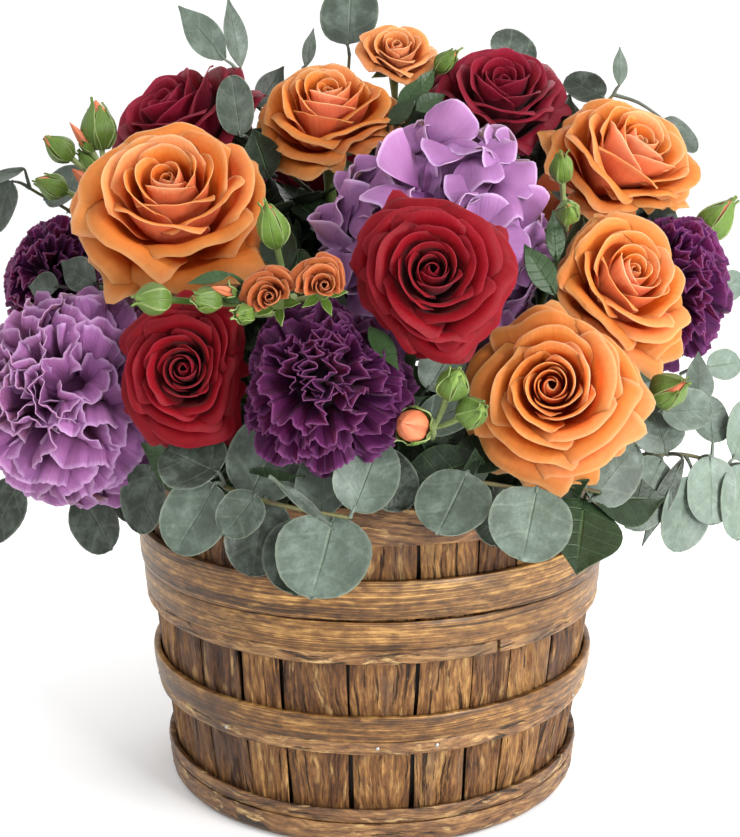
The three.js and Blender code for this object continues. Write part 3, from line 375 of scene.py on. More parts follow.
def petalMaterial(name, look):
    look = {**petalBasics, **look}
    tint = tints(look)
    nodes = Shader(name)
    u, v = nodes.uv()
    side, tone, layer = [nodes.attribute(mark) for mark in ("side", "tone", "layer")]
    edge = (u * 2.0 - 1.0).math("ABSOLUTE")
    # The inner face runs from the root colour through the body to the lip, the outer face from the back's
    # root colour to the back: the root colours paint the shade deep in the bloom, and on the orange rose they
    # are kept bright, painted light that lifts that shade.
    rise = nodes.step(v, look["rootShadeEnd"], look["bodyStart"])
    inner = nodes.mix(nodes.step(v, 0.62, 1.0), nodes.mix(rise, tint["deep"], tint["body"]), tint["lip"])
    outer = nodes.mix(nodes.step(v, 0.15, 0.9), tint["backRoot"], tint["back"])
    if "blush" in tint:  # some petals are flushed with pink, most of all on their backs
        flush = nodes.step(tone, 0.45, 0.95)
        inner = nodes.mix(flush * 0.2, inner, tint["blush"])
        outer = nodes.mix(flush * 0.7, outer, tint["blush"])
    colour = nodes.mix(side, inner, outer)
    # The innermost rings of a rose take the heart colour, tuned against the shade in the heart: on the orange
    # roses it is lighter than the body, painted light that lifts that shade.
    colour = nodes.mix(nodes.step(layer, 0.3, 0.0) * look["heartShare"], colour, tint["heart"])
    # A petal's tip and the upper part of its sides are mixed toward the rim colour: a painted highlight.
    rim = nodes.step(v, 0.91, 1.0).math("MAXIMUM", nodes.step(edge, 0.9, 1.0) * nodes.step(v, 0.4, 0.9))
    colour = nodes.mix(rim * look["rimHighlightShare"], colour, tint["rim"])
    fibres = nodes.noise(nodes.vector(u * look["veins"], v * 1.4, tone * 9.0), 1.0, 4.0)
    patches = nodes.noise(nodes.place(), look["patches"], 2.0)
    shade = (fibres - 0.5) * look["veinShade"] + (patches - 0.5) * 0.35 + (tone - 0.5) * 0.28 + 1.0
    normal = nodes.bump(fibres, look["veinDepth"], 0.5)
    return nodes.finish(nodes.scaled(colour, shade), look["roughness"], normal, Sheen_Weight=look["sheen"],
                        Sheen_Roughness=0.4, Specular_IOR_Level=0.12, Subsurface_Weight=look["glow"],
                        Subsurface_Scale=0.005, Subsurface_Radius=(1.0, 0.75, 0.55))


petals = {name: petalMaterial(name, look) for name, look in petalLooks.items()}

leafLooks = {
    "eucalyptusLeaf": {"dark": (30, 39, 25), "light": (134, 152, 137), "under": (106, 126, 104),
                       "bloom": (152, 168, 158), "bloomScale": 110.0, "bloomShare": 0.4,
                       "rib": (176, 192, 160), "ribs": 22.0, "ribWidth": 0.05, "ribShare": 0.1,
                       "midrib": 0.22, "edge": (156, 166, 146), "edgeShare": 0.3, "roughness": 0.42,
                       "sheen": 0.04},
    "darkLeaf": {"dark": (18, 32, 18), "light": (56, 82, 44), "under": (76, 98, 66), "bloom": (66, 90, 58),
                 "bloomScale": 90.0, "bloomShare": 0.3, "rib": (92, 118, 70), "ribs": 40.0, "ribWidth": 0.07,
                 "ribShare": 0.3, "midrib": 0.6, "edge": (70, 94, 56), "edgeShare": 0.2, "roughness": 0.38,
                 "sheen": 0.02},
    "budGreen": {"dark": (28, 50, 12), "light": (88, 120, 34), "under": (110, 138, 58),
                 "bloom": (98, 128, 56), "bloomScale": 200.0, "bloomShare": 0.4, "rib": (180, 196, 124),
                 "ribs": 20.0, "ribWidth": 0.1, "ribShare": 0.0, "midrib": 0.5, "edge": (198, 212, 146),
                 "edgeShare": 0.5, "roughness": 0.45, "sheen": 0.03},
}
leafSlots = {"eucalyptusLeaf": "eucalyptus", "darkLeaf": "salal"}


def leafMaterial(name, look):
    tint = tints(look)
    nodes = Shader(name)
    u, v = nodes.uv()
    side, tone = nodes.attribute("side"), nodes.attribute("tone")
    off = (u * 2.0 - 1.0).math("ABSOLUTE")  # 0 on the midrib, 1 at the edge
    upper = nodes.mix(tone, tint["dark"], tint["light"])
    colour = nodes.mix(side, nodes.mix(0.5, upper, tint["under"]), upper)
    bloom = nodes.noise(nodes.place(), look["bloomScale"], 5.0, 0.7)
    colour = nodes.mix(nodes.step(bloom, 0.4, 0.72) * look["bloomShare"], colour,
                       nodes.mix(0.6, upper, tint["bloom"]))
    bend = nodes.noise(nodes.place(), 55.0, 2.0) * 2.5
    ribs = (off * 4.0 - v * look["ribs"] + bend).math("SINE")
    rib = nodes.step(off, look["ribWidth"], look["ribWidth"] * 0.2) * nodes.step(v, 0.97, 0.4)
    fine = nodes.step(ribs, 0.86, 1.0)
    colour = nodes.mix(rib * look["midrib"] + fine * look["ribShare"], colour,
                       nodes.mix(0.5, upper, tint["rib"]))
    colour = nodes.mix(nodes.step(off, 0.9, 1.0) * look["edgeShare"], colour, tint["edge"])
    speck = nodes.noise(nodes.place(), 700.0, 3.0)
    # Speckle and bloom vary the colour at random; the last term paints the blade up to a tenth lighter toward
    # the midrib, a painted highlight.
    shade = (speck - 0.5) * 0.35 + (bloom - 0.5) * 0.7 + (1.0 - off) * 0.1 + 0.96
    normal = nodes.bump(rib * -0.5 + fine * look["ribShare"] * -1.0 + speck * 0.25 + bloom * 0.6, 0.0008)
    return nodes.finish(nodes.scaled(colour, shade), look["roughness"], normal, Sheen_Weight=look["sheen"],
                        Specular_IOR_Level=0.3)


leaves = {name: leafMaterial(name, look) for name, look in leafLooks.items()}


def stemMaterial(name, light, dark, roughness):
    nodes = Shader(name)
    u, v = nodes.uv()
    stripes = nodes.noise(nodes.vector(u * 60.0, v * 9.0, nodes.attribute("tone") * 5.0), 1.0, 4.0)
    blotch = nodes.noise(nodes.place(), 120.0, 3.0)
    colour = nodes.mix(nodes.step(stripes * 0.5 + blotch * 0.5, 0.36, 0.64), dark, light)
    return nodes.finish(colour, roughness, nodes.bump(stripes, 0.0004), Specular_IOR_Level=0.4)


greenStem = stemMaterial("greenStem", rgb(104, 136, 60), rgb(54, 82, 34), 0.45)
woodyStem = stemMaterial("woodyStem", rgb(124, 124, 78), rgb(84, 70, 48), 0.55)


def budMaterial():  # green at the foot, the colour of the petals where they show at the tip
    nodes = Shader("budBody")
    u, v = nodes.uv()
    layer = nodes.attribute("layer")  # how far the bud has opened
    folds = nodes.noise(nodes.vector(u * 9.0, v * 2.0, nodes.attribute("tone") * 7.0), 1.0, 3.0)
    share = nodes.step(v + (folds - 0.5) * 0.25, 0.98 - layer * 0.95, 1.12 - layer * 0.95)
    green = nodes.mix(folds, rgb(66, 98, 32), rgb(146, 176, 80))
    coral = nodes.mix(folds, rgb(204, 92, 56), rgb(238, 150, 106))
    return nodes.finish(nodes.mix(share, green, coral), 0.45, nodes.bump(folds, 0.0008),
                        Specular_IOR_Level=0.4)


budBody = budMaterial()

woodLooks = {
    "staveWood": {"stops": [(0.36, (36, 19, 10)), (0.45, (92, 58, 32)), (0.52, (132, 90, 50)),
                            (0.6, (178, 132, 76)), (0.69, (222, 182, 118))],
                  "fibreLength": 70.0, "fibreWidth": 800.0, "streakLength": 16.0, "wander": 0.012,
                  "toneShare": 0.1, "stain": (78, 60, 54), "stainShare": 0.6, "crack": (26, 13, 7),
                  "crackShare": 0.85, "crackLength": 34.0, "crackWidth": 420.0, "worn": (232, 190, 124),
                  "wornShare": 0.4, "depth": 0.0022, "roughness": 0.45, "specular": 0.3, "varnish": 0.0},
    "splintWood": {"stops": [(0.38, (40, 22, 8)), (0.45, (84, 54, 24)), (0.52, (138, 96, 48)),
                             (0.61, (226, 180, 108))],
                   "fibreLength": 9.0, "fibreWidth": 1600.0, "streakLength": 6.0, "wander": 0.003,
                   "toneShare": 0.08, "stain": (72, 46, 28), "stainShare": 0.5, "crack": (36, 18, 8),
                   "crackShare": 0.7, "crackLength": 7.0, "crackWidth": 620.0, "worn": (222, 176, 108),
                   "wornShare": 0.35, "depth": 0.0006, "roughness": 0.3, "specular": 0.28, "varnish": 0.35},
    "barkWood": {"stops": [(0.33, (34, 19, 10)), (0.43, (88, 56, 32)), (0.51, (136, 94, 54)),
                           (0.6, (196, 152, 96)), (0.7, (238, 206, 150))],
                 "fibreLength": 60.0, "fibreWidth": 760.0, "streakLength": 18.0, "wander": 0.014,
                 "toneShare": 0.1, "stain": (58, 40, 34), "stainShare": 0.65, "crack": (22, 11, 6),
                 "crackShare": 0.9, "crackLength": 40.0, "crackWidth": 440.0, "worn": (244, 208, 144),
                 "wornShare": 0.8, "depth": 0.0026, "roughness": 0.36, "specular": 0.45, "varnish": 0.2},
}


def woodMaterial(name, look):  # grain runs along the first direction of the sheet map, in metres
    tint = tints(look)
    nodes = Shader(name)
    u, v = nodes.uv()
    tone = nodes.attribute("tone")
    bent = nodes.noise(nodes.vector(u * 22.0, v * 40.0, tone * 11.0), 1.0, 3.0)
    across = v + (bent - 0.5) * look["wander"]
    fibre = nodes.noise(nodes.vector(u * look["fibreLength"], across * look["fibreWidth"], tone * 13.0),
                        1.0, 6.0, 0.7)
    streak = nodes.noise(nodes.vector(u * look["streakLength"], across * 110.0, tone * 5.0), 1.0, 4.0, 0.6)
    chips = nodes.noise(nodes.vector(u * 150.0, across * 420.0, tone * 7.0), 1.0, 4.0, 0.6)
    grain = fibre * 0.45 + streak * 0.3 + chips * 0.25 + (tone - 0.5) * look["toneShare"]
    stops = [(place, rgb(*colour)) for place, colour in look["stops"]]
    colour = nodes.node("ShaderNodeValToRGB", {"stops": stops}, {0: grain})
    stain = nodes.step(nodes.noise(nodes.place(), 24.0, 4.0) * 0.6 + streak * 0.4, 0.52, 0.64)
    colour = nodes.mix(stain * look["stainShare"], colour, tint["stain"])
    split = nodes.vector(u * look["crackLength"], across * look["crackWidth"], tone * 17.0)
    crack = nodes.step(nodes.noise(split, 1.0, 4.0), 0.4, 0.33)
    colour = nodes.mix(crack * look["crackShare"], colour, tint["crack"])
    rubbed = nodes.vector(u * 70.0, across * 300.0, tone * 3.0)
    worn = nodes.step(nodes.noise(rubbed, 1.0, 4.0, 0.6), 0.57, 0.7)
    colour = nodes.mix(worn * look["wornShare"], colour, tint["worn"])
    normal = nodes.bump(fibre * 0.5 + streak * 0.2 + chips * 0.5 - crack * 0.9, look["depth"])
    return nodes.finish(colour, fibre * 0.25 + look["roughness"], normal, Specular_IOR_Level=look["specular"],
                        Coat_Weight=look["varnish"], Coat_Roughness=0.34, Coat_Tint=(1.0, 0.86, 0.64, 1))


wood = {name: woodMaterial(name, look) for name, look in woodLooks.items()}


def boardMaterial():  # the bottom board, grain along X
    nodes = Shader("boardWood")
    spot = nodes.place()
    x, y = [nodes.node("ShaderNodeSeparateXYZ", None, {0: spot}, k) for k in (0, 1)]
    fibre = nodes.noise(nodes.vector(x * 12.0, y * 260.0), 1.0, 5.0)
    colour = nodes.mix(nodes.step(fibre, 0.35, 0.65), rgb(92, 62, 36), rgb(166, 124, 78))
    return nodes.finish(colour, 0.65, nodes.bump(fibre, 0.001))


def mottledMaterial(name, light, dark, roughness):  # plastic and foam
    nodes = Shader(name)
    mottle = nodes.noise(nodes.place(), 60.0, 4.0)
    return nodes.finish(nodes.mix(mottle, dark, light), roughness,
                        nodes.bump(nodes.noise(nodes.place(), 400.0), 0.0003))


def steelMaterial():
    nodes = Shader("nailSteel")
    scratch = nodes.noise(nodes.place(), 900.0, 3.0)
    colour = nodes.mix(scratch, rgb(150, 146, 140), rgb(226, 222, 216))
    return nodes.finish(colour, scratch * 0.2 + 0.25, nodes.bump(scratch, 0.0001), Metallic=1.0)


basket = {"height": 144.5, "footRadius": 86.3, "slope": 0.1691, "bow": 0.0005375, "hoopGap": 0.95,
          "mapRadius": 0.1}  # millimetres, but mapRadius in metres: it lays the grain round the wall


def wallRadius(z):
    return basket["footRadius"] + basket["slope"] * z - basket["bow"] * z * z


def ringPoint(angle, radius, z):  # angle 0 is the front, 90 degrees the right
    return stacked(radius * np.sin(angle), -radius * np.cos(angle), z)


# A flat grid bent to shape point by point, given its thickness behind its outer face and softened edges.
def bentBoard(columns, rows, shape, thickness, softened, tone):
    deselectAll()
    bpy.ops.mesh.primitive_grid_add(x_subdivisions=columns, y_subdivisions=rows, size=2)
    board = bpy.context.object
    mesh = board.data
    flat = np.zeros(len(mesh.vertices) * 3)
    mesh.vertices.foreach_get("co", flat)
    points, grain = shape(flat[0::3], (flat[1::3] + 1) / 2)
    mesh.vertices.foreach_set("co", (points * mm).ravel())
    loops = np.zeros(len(mesh.loops), int)
    mesh.loops.foreach_get("vertex_index", loops)
    mesh.uv_layers[0].name = "sheet"
    mesh.uv_layers["sheet"].data.foreach_set("uv", grain[loops].ravel())
    mesh.attributes.new("tone", "FLOAT", "POINT").data.foreach_set("value", np.full(len(points), tone))
    wall = board.modifiers.new("wall", "SOLIDIFY")
    wall.thickness, wall.offset = thickness * mm, -1.0
    edges = board.modifiers.new("edges", "BEVEL")
    edges.width, edges.segments, edges.angle_limit = softened * mm, 2, math.radians(55)
    for modifier in ("wall", "edges"):
        bpy.ops.object.modifier_apply(modifier=modifier)
    return board


def joined(boards, name):
    deselectAll()
    for board in boards:
        board.select_set(True)
    bpy.context.view_layer.objects.active = boards[0]
    if len(boards) > 1:
        bpy.ops.object.join()
    boards[0].name = boards[0].data.name = name
    return boards[0]


staves = {"count": 26, "seam": -5.6, "thickness": 3.0, "softened": 0.35, "gap": 0.9, "wideGaps": (0, 1),
          "wideGap": 1.9, "firstWidth": 1.16, "ridge": 0.9, "fibre": 0.5, "foot": 0.3, "topWander": 1.8,
          "drift": 1.0, "meanRadius": 100, "inset": 0.4, "rounding": 0.9}


def makeStaves():
    widths = [1 + 0.16 * math.sin(k * 2.3) + 0.08 * math.sin(k * 5.1) for k in range(staves["count"])]
    widths[0] = staves["firstWidth"]
    edges = np.radians(staves["seam"]) + 2 * math.pi * np.concatenate([[0], np.cumsum(widths)]) / sum(widths)
    boards = []
    for k in range(staves["count"]):
        rolls = np.random.default_rng(100 + k)
        gaps = [staves["wideGap"] if seam in staves["wideGaps"] else staves["gap"] * rolls.uniform(0.6, 1.5)
                for seam in (k, k + 1)]
        low = edges[k] + gaps[0] / 2 / staves["meanRadius"]
        high = edges[k + 1] - gaps[1] / 2 / staves["meanRadius"]
        top = basket["height"] - rolls.uniform(0, staves["topWander"])

        def stave(u, v):
            z = staves["foot"] + v * (top - staves["foot"] - 0.5 * waves(u * 3, 3, 50 + k) ** 2)
            drift = staves["drift"] * (waves(v * 6, 3, 300 + k) * (u > 0)
                                       + waves(v * 6, 3, 400 + k) * (u < 0))
            angle = (low + high) / 2 + (high - low) / 2 * u + drift * u * u / staves["meanRadius"]
            bent = u + 0.22 * waves(v * 3.5, 3, 700 + k)
            ridges = waves(bent * 8, 5, 900 + k) + 0.5 * waves(bent * 15 + v * 2, 4, 950 + k)
            fibres = waves(bent * 31, 4, 970 + k) * waves(v * 13 + u * 4, 4, 40 + k)
            relief = (staves["ridge"] * ridges + staves["fibre"] * fibres) * (1 - np.abs(u) ** 6)
            rounding = staves["rounding"] * np.abs(u) ** 8
            radius = wallRadius(z) - staves["inset"] + np.minimum(relief, 0.7) - rounding
            return ringPoint(angle, radius, z), stacked(z * mm, angle * basket["mapRadius"] + k)

        boards.append(bentBoard(18, 56, stave, staves["thickness"], staves["softened"], rolls.uniform(0, 1)))
    dress(joined(boards, "staves"), [wood["staveWood"]], "staves", "basket_staves", angle=38)


# Strips bent round the wall. The ends of one lap over each other, or leave an open joint where the lap is
# below zero. Height, thickness and roughness are in millimetres, start and lap in degrees.
stripLooks = {
    "rimStrip": ("barkWood", "bark", "rim_strip", [
        {"low": 129.4, "high": 144.4, "thickness": 2.0, "crown": 0.7, "edge": 1.1, "rough": 0.6, "start": 150,
         "lap": 7, "seed": 11, "tone": 0.45}]),
    "upperHoop": ("splintWood", "splint", "hoop_upper", [
        {"low": 99.2, "high": 116.0, "thickness": 3.3, "crown": 0.5, "edge": 0.35, "rough": 0.12,
         "start": 165, "lap": 6, "seed": 21, "tone": 0.55, "parted": (368, 30, 1.4)},
        {"low": 86.6, "high": 99.0, "thickness": 2.4, "crown": 0.5, "edge": 0.4, "rough": 0.14, "start": 158,
         "lap": 6, "seed": 31, "tone": 0.46}]),
    "upperBark": ("barkWood", "bark", "hoop_upper_bark", [
        {"low": 81.4, "high": 86.8, "thickness": 2.3, "crown": 0.6, "edge": 1.1, "rough": 0.5, "start": 30.2,
         "lap": -0.9, "seed": 41, "tone": 0.75}]),
    "middleHoop": ("splintWood", "splint", "hoop_middle", [
        {"low": 47.9, "high": 58.9, "thickness": 2.8, "crown": 0.5, "edge": 0.6, "rough": 0.2, "start": 190,
         "lap": 6, "seed": 51, "tone": 0.5}]),
    "middleBark": ("barkWood", "bark", "hoop_middle_bark", [
        {"low": 42.0, "high": 47.8, "thickness": 2.3, "crown": 0.6, "edge": 1.2, "rough": 0.5, "start": 205,
         "lap": 5, "seed": 61, "tone": 0.75}]),
    "bottomHoop": ("barkWood", "bark", "hoop_bottom", [
        {"low": 0.6, "high": 10.4, "thickness": 3.2, "crown": 0.8, "edge": 1.1, "rough": 0.65, "start": 140,
         "lap": 4, "seed": 71, "tone": 0.5},
        {"low": 10.6, "high": 16.8, "thickness": 2.6, "crown": 0.6, "edge": 1.0, "rough": 0.5, "start": 215,
         "lap": 5, "seed": 81, "tone": 0.38}]),
}


def bentStrip(look):
    seed = look["seed"]

    def strip(u, t):
        turn = look["start"] + (u + 1) / 2 * (360 + look["lap"])
        angle = np.radians(turn)
        low = look["low"] + look["edge"] * waves(angle * 3, 11, seed) * 0.5
        high = look["high"] + look["edge"] * waves(angle * 3, 11, seed + 1) * 0.5
        if "parted" in look:  # the strip draws away from the one below it round this angle
            at, wide, by = look["parted"]
            low = low + by * np.exp(-((turn - at) / wide) ** 2)
        z = low + (high - low) * t
        crown = -look["crown"] * (2 * t - 1) ** 4
        rough = (waves(t * 7 + 0.8 * waves(angle * 7, 5, seed + 5), 5, seed + 3) * 0.8
                 + waves(angle * 23 + t * 2, 6, seed + 2) * 0.5
                 + waves(angle * 90 + t * 6, 7, seed + 4) * 0.45)
        climb = smooth(turn, look["start"] + 353, look["start"] + 362) * look["thickness"] * (look["lap"] > 0)
        radius = (wallRadius(z) + basket["hoopGap"] + look["thickness"] + climb + crown
                  + look["rough"] * rough * np.sin(np.pi * np.clip(t, 0.08, 0.92)))
        return ringPoint(angle, radius, z), stacked(angle * basket["mapRadius"], z * mm + seed)

    return bentBoard(320, 9, strip, look["thickness"], 0.3, look["tone"])


def makeHoops():
    for name, (material, slot, node, strips) in stripLooks.items():
        dress(joined([bentStrip(look) for look in strips], name), [wood[material]], slot, node, angle=35)


nails = {"radius": 0.85, "height": 45.2, "barkThickness": 2.3, "proud": 0.45,
         "angles": (1.2, 15.4, 63, 128, 171, 220, 281, 322)}


def makeNails():  # flat steel heads along the middle bark strip
    heads = []
    deselectAll()
    radius = wallRadius(nails["height"]) + basket["hoopGap"] + nails["barkThickness"]
    for angle in np.radians(nails["angles"]):
        bpy.ops.mesh.primitive_uv_sphere_add(segments=14, ring_count=8, radius=nails["radius"] * mm)
        head = bpy.context.object
        head.scale = (1, nails["proud"], 1)
        head.rotation_euler = (0, 0, angle)
        head.location = ringPoint(angle, radius, nails["height"]) * mm
        bpy.ops.object.transform_apply(location=True, rotation=True, scale=True)
        heads.append(head)
    dress(joined(heads, "nails"), [steelMaterial()], "bark")


def dressInside():  # the solids that are shown as they are
    inside = {"basket_base": boardMaterial(),
              "liner": mottledMaterial("linerPlastic", rgb(46, 34, 24), rgb(28, 20, 14), 0.5),
              "floral_foam": mottledMaterial("wetFoam", rgb(48, 74, 40), rgb(18, 34, 18), 0.9)}
    for node, material in inside.items():
        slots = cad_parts[node].data.materials
        slots.clear()
        slots.append(material)


makeStaves()
makeHoops()
makeNails()
dressInside()
print("basket: staves, six hoops, nails, board and liner")

blooms = {  # middle, radius, and the turn and rise that the head faces, in degrees
    "orange_rose": [((-77, -62, 255), 37, (0, 44)), ((-18, -12, 288), 32, (3, 55)),
                    ((103, -17, 267), 37, (38, 45)), ((94, -72, 225), 32, (24, 32)),
                    ((65, -107, 191), 33, (-8, 20)), ((72, 62, 243), 35, (145, 35))],
    "red_rose": [((20, -115, 233), 31, (4, 22)), ((-67, -107, 198), 28.5, (-3, 16)),
                 ((-80, 4, 281), 34, (-50, 48)), ((54, 0, 292), 31, (6, 52)),
                 ((-28, 78, 250), 32, (-165, 38))],
    "carnation_lavender": [((-115, -67, 180), 45, (-34, 14)), ((-98, 52, 205), 42, (-118, 15))],
    "carnation_purple": [((-18, -111, 196), 37, (-4, 44)), ((-134, -12, 218), 30, (-70, 20)),
                         ((116, -30, 222), 40, (50, 20)), ((25, 102, 200), 34, (170, 18))],
    "hydrangea": [((26, -46, 238), 56, (8, 44))],
    "small": [((10, 10, 312), 16, (5, 46)), ((-35, -121, 226), 11.5, (-14, 20)),
              ((-17, -123, 230), 11.5, (8, 24))],
}
fullness = {"orange_rose": [1.06, 1.0, 1.05, 1.06, 1.02, 1.06], "red_rose": [1.02, 0.98, 1.1, 1.06, 1.08],
            "carnation_lavender": [1.06, 1.03], "carnation_purple": [1.04, 1.04, 1.04, 1.0],
            "hydrangea": [1.05], "small": [1.0, 1.0, 1.0]}  # how far petals open beyond the solid of a head
cell = {"gap": 0.4, "size": 1.02, "sharpness": 8}  # how a head fills the room that its neighbours leave
heartRise = 0.42  # the heart of a carnation or hydrangea above its root, in parts of the radius


def facingVector(facing):
    turn, rise = np.radians(facing[0]), np.radians(facing[1])
    return np.array([math.sin(turn) * math.cos(rise), -math.cos(turn) * math.cos(rise), math.sin(rise)])


class Head:
    def __init__(self, middle, radius, facing, full):
        self.middle, self.radius, self.full = np.array(middle, float), radius, full
        self.z = facingVector(facing)
        self.x = unit(np.cross((0, 0, 1), self.z))
        self.y = np.cross(self.z, self.x)
        self.root = self.middle - 0.5 * radius * self.z

    def planes(self, loose=()):  # shared with the heads that crowd this one
        found = []
        for other in allHeads:
            away = other.middle - self.middle
            gap = np.linalg.norm(away)
            if other is not self and other not in loose and gap < self.radius + other.radius:
                reach = (gap ** 2 + self.radius ** 2 - other.radius ** 2) / (2 * gap)
                found.append((away / gap, reach - cell["gap"]))
        return found

    # Points in parts of the head's radius, from its root, to their place in the arrangement.
    def place(self, points, loose=()):
        spots = self.root + self.radius * self.full * (points[..., :1] * self.x + points[..., 1:2] * self.y
                                                       + points[..., 2:] * self.z)
        out = spots - self.middle
        length = np.maximum(np.linalg.norm(out, axis=-1), 1e-6)
        crowding = np.ones(length.shape)
        for normal, reach in self.planes(loose):
            lean = np.maximum(out @ normal / length, 0)
            crowding += (lean * self.radius * self.full * cell["size"] / reach) ** cell["sharpness"]
        return self.middle + out * (crowding ** (-1 / cell["sharpness"]))[..., None]


heads = {name: [Head(*bloom, share) for bloom, share in zip(group, fullness[name])]
         for name, group in blooms.items()}
allHeads = [head for group in heads.values() for head in group]


# Rings of petals from the heart outwards: count, rim radius, belly radius, rim height, root height,
# half angle of a petal, curl of its rim, curl of its sides, waves and how far its tip is drawn out.
roseShape = {"rows": 14, "columns": 17, "thickness": 0.42, "round": 0.32, "rings": [
    (3, 0.05, 0.11, 0.86, 0.42, 115, 0.0, 0.0, 0.0, 0.0),
    (3, 0.13, 0.18, 0.93, 0.36, 100, 0.012, 0.1, 0.004, 0.0),
    (4, 0.24, 0.27, 0.97, 0.28, 78, 0.03, 0.3, 0.01, 0.01),
    (5, 0.38, 0.38, 0.97, 0.19, 66, 0.05, 0.6, 0.02, 0.02),
    (5, 0.55, 0.50, 0.90, 0.12, 62, 0.08, 0.8, 0.03, 0.03),
    (5, 0.72, 0.62, 0.77, 0.06, 60, 0.11, 1.0, 0.07, 0.08),
    (5, 0.88, 0.72, 0.55, 0.02, 58, 0.12, 1.1, 0.09, 0.12),
    (4, 0.96, 0.74, 0.36, -0.02, 46, 0.10, 1.5, 0.12, 0.2)]}
smallRose = {"rows": 10, "columns": 13, "thickness": 0.4, "round": 0.32, "rings": [
    (3, 0.10, 0.17, 0.86, 0.40, 112, 0.0, 0.0, 0.0, 0.0),
    (3, 0.30, 0.32, 0.95, 0.30, 92, 0.03, 0.2, 0.02, 0.0),
    (4, 0.54, 0.52, 0.93, 0.18, 74, 0.07, 0.6, 0.04, 0.02),
    (5, 0.80, 0.70, 0.80, 0.10, 62, 0.12, 1.0, 0.07, 0.05),
    (4, 0.96, 0.80, 0.60, 0.05, 66, 0.14, 1.2, 0.08, 0.08)]}


def roundedOutline(u, v, start):  # draws the upper corners of a sheet in to a round outline
    w = np.clip((v - start) / (1 - start), 0, 1)
    rounded = np.where(v < start, v, start + (1 - start) * w * np.sqrt(1 - u * u / 2))
    return u * np.sqrt(1 - w * w / 2), rounded, w


def bezier(rest, along, a, b, c, d):  # the point and the slope of a curve through four values
    return (rest ** 3 * a + 3 * rest * rest * along * b + 3 * rest * along ** 2 * c + along ** 3 * d,
            3 * rest ** 2 * (b - a) + 6 * rest * along * (c - b) + 3 * along ** 2 * (d - c))


def addRose(bundle, head, shape, seed, loose=()):
    rolls = np.random.default_rng(seed)
    u = np.linspace(-1, 1, shape["columns"])[None, :]
    v = (np.linspace(0, 1, shape["rows"]) ** 0.85)[:, None]
    rings, before = shape["rings"], 0
    for order, (count, rim, belly, height, root, spread, curl, sides, wave, point) in enumerate(rings):
        gap, before = rim - before, rim
        across, rounded, w = roundedOutline(u, v, shape["round"] + 0.34 * (1 - rim))
        start = rolls.uniform(0, 6.3)
        for k in range(count):
            rimHere = rim + gap * rolls.uniform(-0.2, 0.2)
            top = height + rolls.uniform(-0.04, 0.04) * (order > 1)
            lean = rolls.uniform(-0.25, 0.25)
            along = rounded + point * rolls.uniform(0, 1.6) * np.exp(-((u - lean) / 0.3) ** 2) * w ** 3
            rest = 1 - along
            ends = np.array([(0.1, root), (belly * 0.95, root + 0.05 * (top - root)),
                             (belly, root + 0.72 * (top - root)), (rimHere, top)])
            (out, slopeOut), (up, slopeUp) = [bezier(rest, along, *ends[:, axis]) for axis in (0, 1)]
            steep = np.hypot(slopeOut, slopeUp)
            back = curl * rolls.uniform(0.5, 1.5) * smooth(w, 0.5, 1) ** 1.7
            back = back + (curl * sides * rolls.uniform(0.5, 1.4) * smooth(np.abs(u), 0.45, 1) ** 1.5
                           * smooth(v, 0.3, 1))
            back = back + wave * (0.3 + 0.7 * np.abs(u)) * v ** 3 * waves(u * 2.8, 4, rolls.integers(1e6))
            out, up = out + back * slopeUp / steep, up - back * slopeOut / steep
            ripple = 0.3 * wave * v ** 3 * waves(u * 5, 3, rolls.integers(1e6))
            up = up - 0.55 * curl * smooth(w, 0.82, 1) + ripple
            out = out + gap * 0.34 * u * smooth(v, 0.1, 0.5)
            angle = start + k * 2 * math.pi / count + rolls.uniform(-0.15, 0.15) + np.radians(spread) * across
            grid = ringPoint(angle, out, up)
            thick = shape["thickness"] * (1 - 0.5 * smooth(v, 0.8, 1)) * (1 - 0.3 * np.abs(u) ** 4)
            bundle.sheet(head.place(grid, loose), thick, rolls.uniform(0, 1), order / (len(rings) - 1))


def makeRoses():
    for name, slot in (("orange_rose", "orange"), ("red_rose", "red")):
        for k, head in enumerate(heads[name]):
            bundle = Bundle()
            addRose(bundle, head, roseShape, 500 + 17 * k + len(name))
            look = "orangePetal" if slot == "orange" else ("redPetal" if k < 2 else "burgundyPetal")
            bundle.make(f"{slot}Rose{k + 1}", [petals[look]], slot, f"{name}_{k + 1}")
    bundle = Bundle()
    addRose(bundle, heads["small"][0], smallRose, 801)
    bundle.make("topRose", [petals["coralPetal"]], "coral", "spray_top_bloom")
    bundle = Bundle()
    pair = heads["small"][1:]
    for k, head in enumerate(pair):
        addRose(bundle, head, smallRose, 811 + k, pair)
    bundle.make("centreRoses", [petals["copperPetal"]], "coral", "spray_centre_blooms")


makeRoses()
print("roses: eleven large, three small")


carnationShapes = {
    "lavender": {"petals": 104, "width": 0.33, "bend": 74, "ripple": 0.05, "folds": 1.4, "rows": 12,
                 "columns": 23, "core": 0.3, "length": 0.8, "teeth": 0.014, "widest": 114, "flat": 0.94},
    "purple": {"petals": 78, "width": 0.27, "bend": 36, "ripple": 0.075, "folds": 2.0, "rows": 10,
               "columns": 21, "core": 0.2, "length": 0.86, "teeth": 0.03, "widest": 115, "flat": 0.76},
}
carnationBasics = {"thickness": 0.5, "ball": 0.5, "ballRise": 0.38, "steps": 40}


